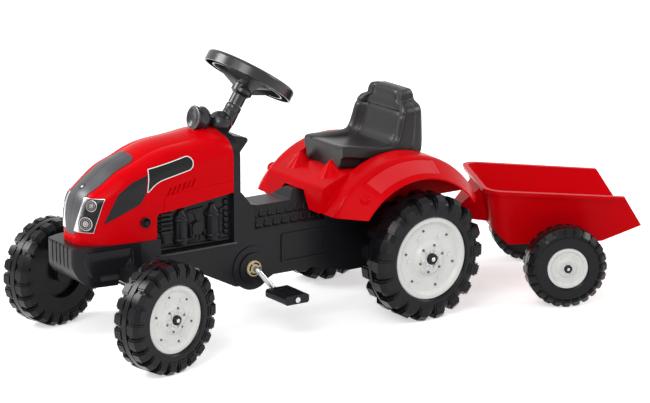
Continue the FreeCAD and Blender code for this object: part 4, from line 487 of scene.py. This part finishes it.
def makeBoot(facts):
    bm = bmesh.new()
    spinAt(bm, facts["neck"], 48, at(*facts["columnBase"]), Vector(joints["steering"]["axis"]))
    before = set(bm.verts)
    bmesh.ops.create_uvsphere(bm, u_segments=48, v_segments=24, radius=facts["radius"] * mm)
    ball = [v for v in bm.verts if v not in before]
    bmesh.ops.translate(bm, verts=ball, vec=at(*facts["ball"]))
    piece = finishPiece(bm, "columnBoot", [glossBlack], "tractor")
    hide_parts("column_collar")
    x, y, z = facts["hole"]["at"]
    for side, sign in sides.items():
        out = (at(x, y * sign, z) - at(*facts["ball"])).normalized()
        bm = bmesh.new()
        spinAt(bm, facts["hole"]["profile"], 24, at(*facts["ball"]) + out * facts["radius"] * mm, out)
        finishPiece(bm, f"{side}BootHole", [darkInkAndPaintedShade], "tractor")


makeBoot(bootFacts)
print("column boot made")


# Dash pod: a short drum ahead of the boot, with two raised rings and a bright line in the front one
podFacts = {"front": (-428, 0, 435), "lean": 12,
            "drum": [(0, -2.4), (17, -2.4), (18.6, 0.4), (22.2, 0)], "line": [(22.2, 0), (23.2, 0)],
            "sleeve": [(23.2, 0), (24.6, -1.2), (24.6, -4.4), (23, -5.4), (23, -17), (24.4, -18), (24.4, -23),
                       (22.8, -24.2), (20, -30), (0, -32)]}


def makePod(facts):
    turn = math.radians(facts["lean"])
    way = Vector((-math.cos(turn), 0, math.sin(turn)))
    bm = bmesh.new()
    for number, profile in enumerate((facts["drum"], facts["line"], facts["sleeve"])):
        before = set(bm.faces)
        spinProfile(bm, profile, steps=48)
        for face in bm.faces:
            if face not in before:
                face.material_index = 1 if number == 1 else 0
    standOn(bm, bm.verts, at(*facts["front"]), way)
    piece = finishPiece(bm, "podDrum", [podLacquer, chromeInk], "tractor")
    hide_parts("dash_pod")


makePod(podFacts)
print("dash pod made")


# Film lines: a printed line round a film's edge, taken from the film's own outer skin
filmFacts = {"lift": 0.12, "probe": 0.05, "thickest": 1.2, "facing": 0.2, "lines": {
    "PanelLine": {"film": "name_panel", "way": (0, 1, 0), "width": 1.7, "finish": whitePrint,
                  "slot": "panel_film"},
    "LampLine": {"film": "headlight_film", "way": (-0.75, 0.65, 0.1), "width": 1.1, "finish": chromeInk,
                 "slot": "lamp_film"}}}


def outwards(way, sign):  # a way given for the right side, turned to either side
    x, y, z = way
    return Vector((x, y * sign, z)).normalized()


def makeFilmLine(side, sign, name, line, facts):
    way = outwards(line["way"], sign)
    bm = bmesh.new()
    bm.from_mesh(nodes[f"{side}_{line['film']}"].data)
    bmesh.ops.remove_doubles(bm, verts=bm.verts, dist=1e-6)
    tree = BVHTree.FromBMesh(bm)
    inner = []
    for face in bm.faces:
        middle = face.calc_center_median()
        hit, _, _, deep = tree.ray_cast(middle - face.normal * facts["probe"] * mm, -face.normal)
        if face.normal.dot(way) < facts["facing"] or hit is None or deep > facts["thickest"] * mm:
            inner.append(face)
    bmesh.ops.delete(bm, geom=inner, context="FACES")
    band = bmesh.ops.inset_region(bm, faces=bm.faces, thickness=line["width"] * mm, use_boundary=True,
                                  use_even_offset=True)
    keep = set(band["faces"])
    bmesh.ops.delete(bm, geom=[f for f in bm.faces if f not in keep], context="FACES")
    bm.normal_update()
    for vert in bm.verts:
        vert.co += vert.normal * facts["lift"] * mm
    finishPiece(bm, f"{side}{name}", [line["finish"]], "tractor", recalc=False)


for side, sign in sides.items():
    for name, line in filmFacts["lines"].items():
        makeFilmLine(side, sign, name, line, filmFacts)
print("film lines made")


# Printed lamps: rings laid on each headlight film
lampFacts = {"lift": 0.8, "way": (-0.74, 0.64, 0.1), "segments": 36, "lamps": [
    {"name": "UpperLamp", "at": (-687, 50, 303.7), "radius": 12.5},
    {"name": "LowerLamp", "at": (-696.1, 43.2, 268.1), "radius": 15.5}],
    # share of the radius and ink of each ring, from the rim inwards: 0 foil, 1 black, 2 grey
    "rings": [(0.12, 1), (0.12, 0), (0.13, 1), (0.12, 2), (0.13, 1), (0.12, 0), (0.12, 2)]}


def makeLamp(side, sign, lamp, facts):
    tree = surfaceOf(f"{side}_headlight_film")
    x, y, z = lamp["at"]
    middle, way = landing(tree, at(x, y * sign, z), outwards(facts["way"], sign))
    bm = bmesh.new()
    bmesh.ops.create_circle(bm, cap_ends=True, segments=facts["segments"], radius=lamp["radius"] * mm)
    bm.faces.ensure_lookup_table()
    face = bm.faces[0]
    for share, ink in facts["rings"]:
        band = bmesh.ops.inset_region(bm, faces=[face], thickness=share * lamp["radius"] * mm,
                                      use_boundary=True, use_even_offset=True)
        for ring in band["faces"]:
            ring.material_index = ink
    bmesh.ops.poke(bm, faces=[face])
    standOn(bm, bm.verts, middle, way)
    for vert in bm.verts:
        spot, normal = landing(tree, vert.co, way)
        vert.co = spot + normal * facts["lift"] * mm
    finishPiece(bm, f"{side}{lamp['name']}", [chromeInk, darkInkAndPaintedShade, greyPrint], "tractor")


for side, sign in sides.items():
    for lamp in lampFacts["lamps"]:
        makeLamp(side, sign, lamp, lampFacts)
print("lamps made")


# Vent floors: a red plate in the hood's wall closes the slots behind their mouths
ventFacts = {"front": (-540, 79.1), "rear": (-467, 80.15), "low": 305.5, "high": 336.5, "depth": 2.7}


def makeVentFloor(side, sign, facts):
    bm = bmesh.new()
    corners = []
    for (x, y), levels in ((facts["front"], ("low", "high")), (facts["rear"], ("high", "low"))):
        corners += [bm.verts.new(at(x, (y - facts["depth"]) * sign, facts[level])) for level in levels]
    bm.faces.new(corners)
    finishPiece(bm, f"{side}VentFloor", [redMoulding], "tractor")


for side, sign in sides.items():
    makeVentFloor(side, sign, ventFacts)
print("vent floors made")


# Screws: a domed head with a crossed slot, in shares of the head's radius; the slot is a dark bar of painted
# shade
screwShape = {"head": [(0, 0.42), (0.45, 0.36), (0.8, 0.18), (1, 0), (1, -0.2)],
              "slot": {"rise": 0.36, "half": 0.5, "width": 0.18, "height": 0.16, "bevel": 0.03}}


def crossScrew(name, point, normal, radius, finish):
    bm = bmesh.new()
    spinProfile(bm, [(share * radius, rise * radius) for share, rise in screwShape["head"]], steps=20)
    headFaces = set(bm.faces)
    cut = {key: share * radius for key, share in screwShape["slot"].items()}
    rise = at(0, 0, cut["rise"])
    for half in (at(cut["half"], 0, 0), at(0, cut["half"], 0)):
        roundedBar(bm, rise - half, rise + half, cut["width"], cut["height"], Vector((0, 0, 1)), cut["bevel"])
    # the slot bars take the dark colour as painted shade
    for face in bm.faces:
        face.material_index = 0 if face in headFaces else 1
    standOn(bm, bm.verts, point, normal)
    finishPiece(bm, name, [finish, darkInkAndPaintedShade], "tractor")


# Nose screw: a zinc screw in a small black seat on the grille film
noseFacts = {"at": (-678, 0, 331), "way": (-0.59, 0, 0.81), "radius": 4.2,
             "seat": [(6.6, -0.6), (6.4, 0.5), (5.6, 0.7), (3.8, 0.3)]}


def makeNoseScrew(facts):
    spot, normal = landing(surfaceOf("grille_film"), at(*facts["at"]), Vector(facts["way"]))
    bm = bmesh.new()
    spinAt(bm, facts["seat"], 28, spot, normal)
    finishPiece(bm, "noseScrewSeat", [blackMoulding], "tractor")
    crossScrew("noseScrew", spot, normal, facts["radius"], zincSteel)


makeNoseScrew(noseFacts)


# Hood side plugs: a black cup in each round hole, with the hood's screw at its bottom
plugFacts = {"x": -584, "z": 262, "face": 80.6, "depth": 6, "screw": 3.6,
             "profile": [(10.6, 0), (10.2, 0.7), (8.6, 0.7), (8.2, 0), (8, -6), (0, -6.4)]}


def makePlug(side, sign, facts):
    middle, normal = at(facts["x"], facts["face"] * sign, facts["z"]), Vector((0, sign, 0))
    bm = bmesh.new()
    spinAt(bm, facts["profile"], 32, middle, normal)
    finishPiece(bm, f"{side}HoodPlug", [blackMoulding], "tractor")
    crossScrew(f"{side}HoodScrew", middle - normal * facts["depth"] * mm, normal, facts["screw"], capMoulding)


for side, sign in sides.items():
    makePlug(side, sign, plugFacts)
print("screws and plugs made")


# Wheels: moulded bolt heads on each disc, grey with painted shade on the tractor's wheels, a star washer
# under each cap and the axle's end in it
wheelFacts = {
    "front_left": {"joint": "front_left_spin", "body": "front_left_wheel", "out": -1},
    "front_right": {"joint": "front_right_spin", "body": "front_right_wheel", "out": 1},
    "rear_left": {"joint": "rear_axle_spin", "body": "rear_axle", "out": -1},
    "rear_right": {"joint": "rear_right_spin", "body": "rear_right_wheel", "out": 1},
    "trailer_left": {"joint": "trailer_left_spin", "body": "trailer_left_wheel", "out": -1},
    "trailer_right": {"joint": "trailer_right_spin", "body": "trailer_right_wheel", "out": 1}}
boltFacts = {
    "front": {"outer": 47, "inner": 23, "head": 2.6, "washer": 15, "finish": boltPaintedShade, "slot": "cap_plastic"},
    "rear": {"outer": 60, "inner": 28, "head": 3, "washer": 17, "finish": boltPaintedShade, "slot": "cap_plastic"},
    "trailer": {"outer": 27, "inner": 15.5, "head": 2, "washer": 11.5, "finish": whiteMoulding,
                "slot": "white_plastic"}}
# the number of bolts in a ring, then shares of the bolt head's radius
boltShape = {"count": 6, "top": 0.8, "depth": 0.9, "rise": 0.3}
# radii and the points' width as shares of the washer's radius, heights and bevel in mm
washerShape = {"ring": [(0.5, 1.6), (0.62, 1.9), (0.8, 1.1), (0.8, 0)], "probe": 0.9,
               "star": {"count": 8, "root": (0.7, 0.7), "tip": (1, 0.4), "width": 0.3, "height": 1,
                        "bevel": 0.2}}
# the axle end's radius as a share of the washer's, and its profile in shares of that radius
axleEndShape = {"radius": 0.3, "profile": [(0, 0.4), (0.5, 0.34), (0.85, 0.16), (1, -0.2)]}


def wheelAxis(facts):  # the wheel's middle and its way out
    joint = joints[facts["joint"]]
    return Vector(joint["pos_m"]), Vector(joint["axis"]).normalized() * facts["out"]


def makeBolts(wheel, facts, sizes):
    centre, out = wheelAxis(facts)
    tree = surfaceOf(f"{wheel}_disc")
    across = out.orthogonal().normalized()
    head, count = sizes["head"] * mm, boltShape["count"]
    bm = bmesh.new()
    for radius, turn in ((sizes["outer"], 0), (sizes["inner"], 0.5)):
        for step in range(count):
            spoke = across.copy()
            spoke.rotate(Matrix.Rotation((step + turn) * math.tau / count, 3, out))
            spot, _ = landing(tree, centre + spoke * radius * mm, out)
            before = set(bm.verts)
            bmesh.ops.create_cone(bm, cap_ends=True, segments=6, radius1=head,
                                  radius2=boltShape["top"] * head, depth=boltShape["depth"] * head)
            fresh = [v for v in bm.verts if v not in before]
            standOn(bm, fresh, spot + out * boltShape["rise"] * head, out)
    finishPiece(bm, f"{wheel}Bolts", [sizes["finish"]], facts["body"], smooth=False)


def makeWasher(wheel, facts, sizes):
    centre, out = wheelAxis(facts)
    low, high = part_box(f"{wheel}_cap")
    middle = (Vector(low) + Vector(high)) / 2
    centre += out * (middle - centre).dot(out)
    radius = sizes["washer"]
    edge = centre + out.orthogonal().normalized() * washerShape["probe"] * radius * mm
    spot, _ = landing(surfaceOf(f"{wheel}_disc"), edge, out)
    base = centre + out * (spot - centre).dot(out)
    bm = bmesh.new()
    spinProfile(bm, [(share * radius, rise) for share, rise in washerShape["ring"]], steps=32)
    star = washerShape["star"]
    root, tip = (at(share * radius, 0, rise) for share, rise in (star["root"], star["tip"]))
    for step in range(star["count"]):
        turn = Matrix.Rotation(step * math.tau / star["count"], 3, "Z")
        roundedBar(bm, turn @ root, turn @ tip, star["width"] * radius, star["height"], Vector((0, 0, 1)),
                   star["bevel"])
    standOn(bm, bm.verts, base, out)
    finishPiece(bm, f"{wheel}Washer", [zincSteel], facts["body"], smooth=False)
    dome = axleEndShape["radius"] * radius
    top, _ = landing(surfaceOf(f"{wheel}_cap"), centre, out)
    bm = bmesh.new()
    spinAt(bm, [(share * dome, rise * dome) for share, rise in axleEndShape["profile"]], 24, top, out)
    finishPiece(bm, f"{wheel}AxleEnd", [zincSteel], facts["body"])


for wheel, facts in wheelFacts.items():
    sizes = boltFacts[wheel.split("_")[0]]
    makeBolts(wheel, facts, sizes)
    makeWasher(wheel, facts, sizes)
print("wheel bolts, washers and axle ends made")


# Kingpin nuts: zinc lock nuts that stand for the plain caps over the front axle
nutFacts = {"corner": 8.5, "height": 6, "bevel": 0.6,
            # the collar and the stud's end above the nut: radius, height over the nut's top
            "collar": [(6.2, 0), (5.8, 2), (4.6, 2), (4.2, 2.8), (0, 3)]}


def makeNut(side, facts):
    low, high = (Vector(corner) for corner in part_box(f"{side}_kingpin_cap"))
    bm = bmesh.new()
    bmesh.ops.create_cone(bm, cap_ends=True, segments=6, radius1=facts["corner"] * mm,
                          radius2=facts["corner"] * mm, depth=facts["height"] * mm)
    bmesh.ops.bevel(bm, geom=list(bm.edges), offset=facts["bevel"] * mm, affect="EDGES", segments=2,
                    profile=0.5, material=-1)
    half = facts["height"] / 2
    spinProfile(bm, [(radius, half + rise) for radius, rise in facts["collar"]], steps=24)
    middle = (low + high) / 2
    standOn(bm, bm.verts, Vector((middle.x, middle.y, low.z + half * mm)), Vector((0, 0, 1)))
    piece = finishPiece(bm, f"{side}KingpinNut", [zincSteel], f"{side}_knuckle", smooth=False)
    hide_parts(f"{side}_kingpin_cap")


# Treads: two rows of slanting foot bars down each side of the step, each linked to the next at its foot
treadFacts = {"high": (34, 246), "low": (86, 208), "rows": (0.3, 0.68), "start": -330, "pitch": 21,
              "count": 8, "lean": 12, "reach": 0.12, "width": 5, "height": 3.4, "bevel": 1.2,
              "link": {"share": 0.6, "bevel": 0.7}}


def makeTreads(side, sign, facts):
    top, foot = (at(0, y * sign, z) for y, z in (facts["high"], facts["low"]))
    down = foot - top
    up = down.normalized().cross(Vector((1, 0, 0)))
    up = up if up.z > 0 else -up
    width, height, link = facts["width"], facts["height"], facts["link"]
    bm = bmesh.new()
    for row in facts["rows"]:
        for step in range(facts["count"]):
            x = facts["start"] + step * facts["pitch"]
            start = top + down * (row - facts["reach"]) + at(x + facts["lean"], 0, 0)
            end = top + down * (row + facts["reach"]) + at(x, 0, 0)
            roundedBar(bm, start, end, width, height, up, facts["bevel"])
            corner = end + at(facts["pitch"] - width, 0, 0)
            roundedBar(bm, end, corner, link["share"] * width, link["share"] * height, up, link["bevel"])
    finishPiece(bm, f"{side}Treads", [blackMoulding], "tractor")


# Engine relief: pipes, clamps, lids, rails and posts in each side bay, and a gloss sill under it
bayFacts = {
    "face": 68, "pipeRadius": 2.2, "pipes": [
        [(-548, 199), (-500, 199), (-470, 199), (-457, 202), (-456, 212), (-456, 224)],
        [(-548, 206), (-505, 206), (-478, 206), (-466, 208), (-464, 214), (-464, 224)]],
    "hose": [(-464, 246), (-466, 258), (-474, 266), (-486, 268)],
    "canisters": {"x": (-500, -428), "bands": (214, 254), "top": 263,
                  "band": [(14, 3.4), (17, 2.6), (17, -2.6), (14, -3.4)],
                  "lid": [(15, -2), (12, 3), (8, 6), (7, 13), (5, 14), (0, 14)]},
    "rails": [((-552, 246), (-519, 246)), ((-552, 238), (-530, 238)), ((-484, 268), (-446, 271)),
              ((-412, 262), (-390, 264)), ((-446, 258), (-412, 258))],
    "rail": {"lift": 1.5, "width": 4, "height": 5, "bevel": 1},
    # each post: x, foot and top; its tip over the top and its foot as (radius, height)
    "posts": [(-541, 212, 232), (-478, 214, 240), (-446, 214, 226)],
    "post": {"lift": 1, "tip": [(0, 2), (2.5, 1.4), (4, 0)], "foot": [(4, 0), (0, -1)]},
    "sill": {"face": 79.5, "ends": ((-560, 191), (-378, 191)), "width": 4, "height": 7, "bevel": 0.8}}


def tubePiece(name, points, radius, material):  # a moulded pipe along a smooth line
    curve = bpy.data.curves.new(name, "CURVE")
    curve.dimensions = "3D"
    curve.bevel_depth = radius * mm
    curve.bevel_resolution = 3
    curve.use_fill_caps = True
    line = curve.splines.new("NURBS")
    line.points.add(len(points) - 1)
    for spot, point in zip(line.points, points):
        spot.co = (*point, 1)
    line.order_u = 3
    line.use_endpoint_u = True
    source = bpy.data.objects.new(name, curve)
    mesh = bpy.data.meshes.new_from_object(source)
    bm = bmesh.new()
    bm.from_mesh(mesh)
    bpy.data.objects.remove(source)
    bpy.data.curves.remove(curve)
    bpy.data.meshes.remove(mesh)
    return finishPiece(bm, name, [material], "tractor")


def makeBay(side, sign, facts):
    face = facts["face"] * sign
    out, up = Vector((0, sign, 0)), Vector((0, 0, 1))
    for number, route in enumerate(facts["pipes"] + [facts["hose"]], 1):
        tubePiece(f"{side}BayPipe{number}", [at(x, face, z) for x, z in route], facts["pipeRadius"],
                  blackMoulding)
    bm = bmesh.new()
    cans = facts["canisters"]
    for x in cans["x"]:
        for z in cans["bands"]:
            spinAt(bm, cans["band"], 40, at(x, face, z), up)
        spinAt(bm, cans["lid"], 32, at(x, face, cans["top"]), up)
    rail, post, sill = facts["rail"], facts["post"], facts["sill"]
    lifted = face + rail["lift"] * sign
    for (x, z), (endX, endZ) in facts["rails"]:
        roundedBar(bm, at(x, lifted, z), at(endX, lifted, endZ), rail["width"], rail["height"], out,
                   rail["bevel"])
    for x, low, high in facts["posts"]:
        profile = [(radius, high - low + rise) for radius, rise in post["tip"]] + post["foot"]
        spinAt(bm, profile, 16, at(x, face + post["lift"] * sign, low), up)
    finishPiece(bm, f"{side}BayRelief", [blackMoulding], "tractor")
    bm = bmesh.new()
    start, end = (at(x, sill["face"] * sign, z) for x, z in sill["ends"])
    roundedBar(bm, start, end, sill["width"], sill["height"], out, sill["bevel"])
    finishPiece(bm, f"{side}BaySill", [glossBlack], "tractor")


# Bumper cheeks: a raised rounded panel on each side behind the bumper's corner
cheekFacts = {
    # each corner: x, z and the size of its bend
    "corners": [(-716, 214, 12), (-612, 217, 10), (-612, 158, 14), (-692, 156, 16), (-714, 184, 16)],
    "bendSteps": 5, "cuts": 2, "start": 120, "sink": 0.6, "rise": 1.8}


def makeCheek(side, sign, facts):
    tree = surfaceOf(f"chassis_{side}")
    bm = bmesh.new()
    corners = [bm.verts.new(at(x, facts["start"] * sign, z)) for x, z, _ in facts["corners"]]
    bm.faces.new(corners)
    for vert, (_, _, bend) in zip(corners, facts["corners"]):
        bmesh.ops.bevel(bm, geom=[vert], offset=bend * mm, affect="VERTICES", segments=facts["bendSteps"],
                        profile=0.5, material=-1)
    bmesh.ops.triangulate(bm, faces=bm.faces)
    bmesh.ops.subdivide_edges(bm, edges=bm.edges, cuts=facts["cuts"], use_grid_fill=True)
    bmesh.ops.triangulate(bm, faces=bm.faces)
    out = Vector((0, sign, 0))
    for vert in bm.verts:
        spot, _ = landing(tree, vert.co, out)
        vert.co = spot - out * facts["sink"] * mm
    bm.normal_update()
    region = bmesh.ops.extrude_face_region(bm, geom=list(bm.faces))
    lifted = [g for g in region["geom"] if isinstance(g, bmesh.types.BMVert)]
    bmesh.ops.translate(bm, verts=lifted, vec=out * (facts["rise"] + facts["sink"]) * mm)
    finishPiece(bm, f"{side}Cheek", [blackMoulding], "tractor")


# Fender panels: a glossier strip laid in the shallow inlay over each rear wheel, its lighter, pinker red a
# painted reflection
stripFacts = {"axle": (0, 130), "near": 153.5, "far": 185.5, "angles": (-36, 14), "cuts": (26, 3),
              "lift": 0.25}


def makeStrip(side, sign, facts):
    tree = surfaceOf("rear_body")
    along, across = facts["cuts"]
    x, z = facts["axle"]
    first, last = facts["angles"]
    bm = bmesh.new()
    bmesh.ops.create_grid(bm, x_segments=along, y_segments=across, size=0.5)
    for vert in bm.verts:
        turn = math.radians(first + (vert.co.x + 0.5) * (last - first))
        y = facts["near"] + (vert.co.y + 0.5) * (facts["far"] - facts["near"])
        way = Vector((math.sin(turn), 0, math.cos(turn)))
        spot, normal = landing(tree, at(x, y * sign, z), way)
        vert.co = spot + normal * facts["lift"] * mm
    finishPiece(bm, f"{side}FenderStrip", [redSatinPaintedSheen], "tractor")


# Crank bushes: a pressed ring with four pockets between its spokes, the pockets a flat dark ring of painted
# shade
bushFacts = {"pocket": (9.6, 13.2), "lift": 0.3, "count": 4, "turn": 0.4,
             "spoke": {"width": 3.4, "height": 1.4, "past": 0.8, "rise": 0.4, "bevel": 0.3}}


def makeBushFace(side, sign, facts):
    centre = Vector(joints["crank_spin"]["pos_m"])
    low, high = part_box(f"{side}_crank_bush")
    base = Vector((centre.x, high[1] if sign > 0 else low[1], centre.z))
    near, far = facts["pocket"]
    spoke = facts["spoke"]
    bm = bmesh.new()
    # a flat dark ring, painted shade standing for the pockets' depth
    spinProfile(bm, [(near, facts["lift"]), (far, facts["lift"])], steps=40)
    dark = set(bm.faces)
    start, end = (at(radius, 0, spoke["rise"]) for radius in (near - spoke["past"], far + spoke["past"]))
    for step in range(facts["count"]):
        turn = Matrix.Rotation(step * math.tau / facts["count"] + facts["turn"], 3, "Z")
        roundedBar(bm, turn @ start, turn @ end, spoke["width"], spoke["height"], Vector((0, 0, 1)),
                   spoke["bevel"])
    for face in bm.faces:
        face.material_index = 1 if face in dark else 0
    standOn(bm, bm.verts, base, Vector((0, sign, 0)))
    finishPiece(bm, f"{side}BushFace", [bushNylon, darkInkAndPaintedShade], "tractor", smooth=False)


for side, sign in sides.items():
    makeStrip(side, sign, stripFacts)
    makeBushFace(side, sign, bushFacts)
    makeNut(side, nutFacts)
    makeTreads(side, sign, treadFacts)
    makeBay(side, sign, bayFacts)
    makeCheek(side, sign, cheekFacts)
print("fender strips, bush faces, nuts, treads, engine relief and cheeks made")
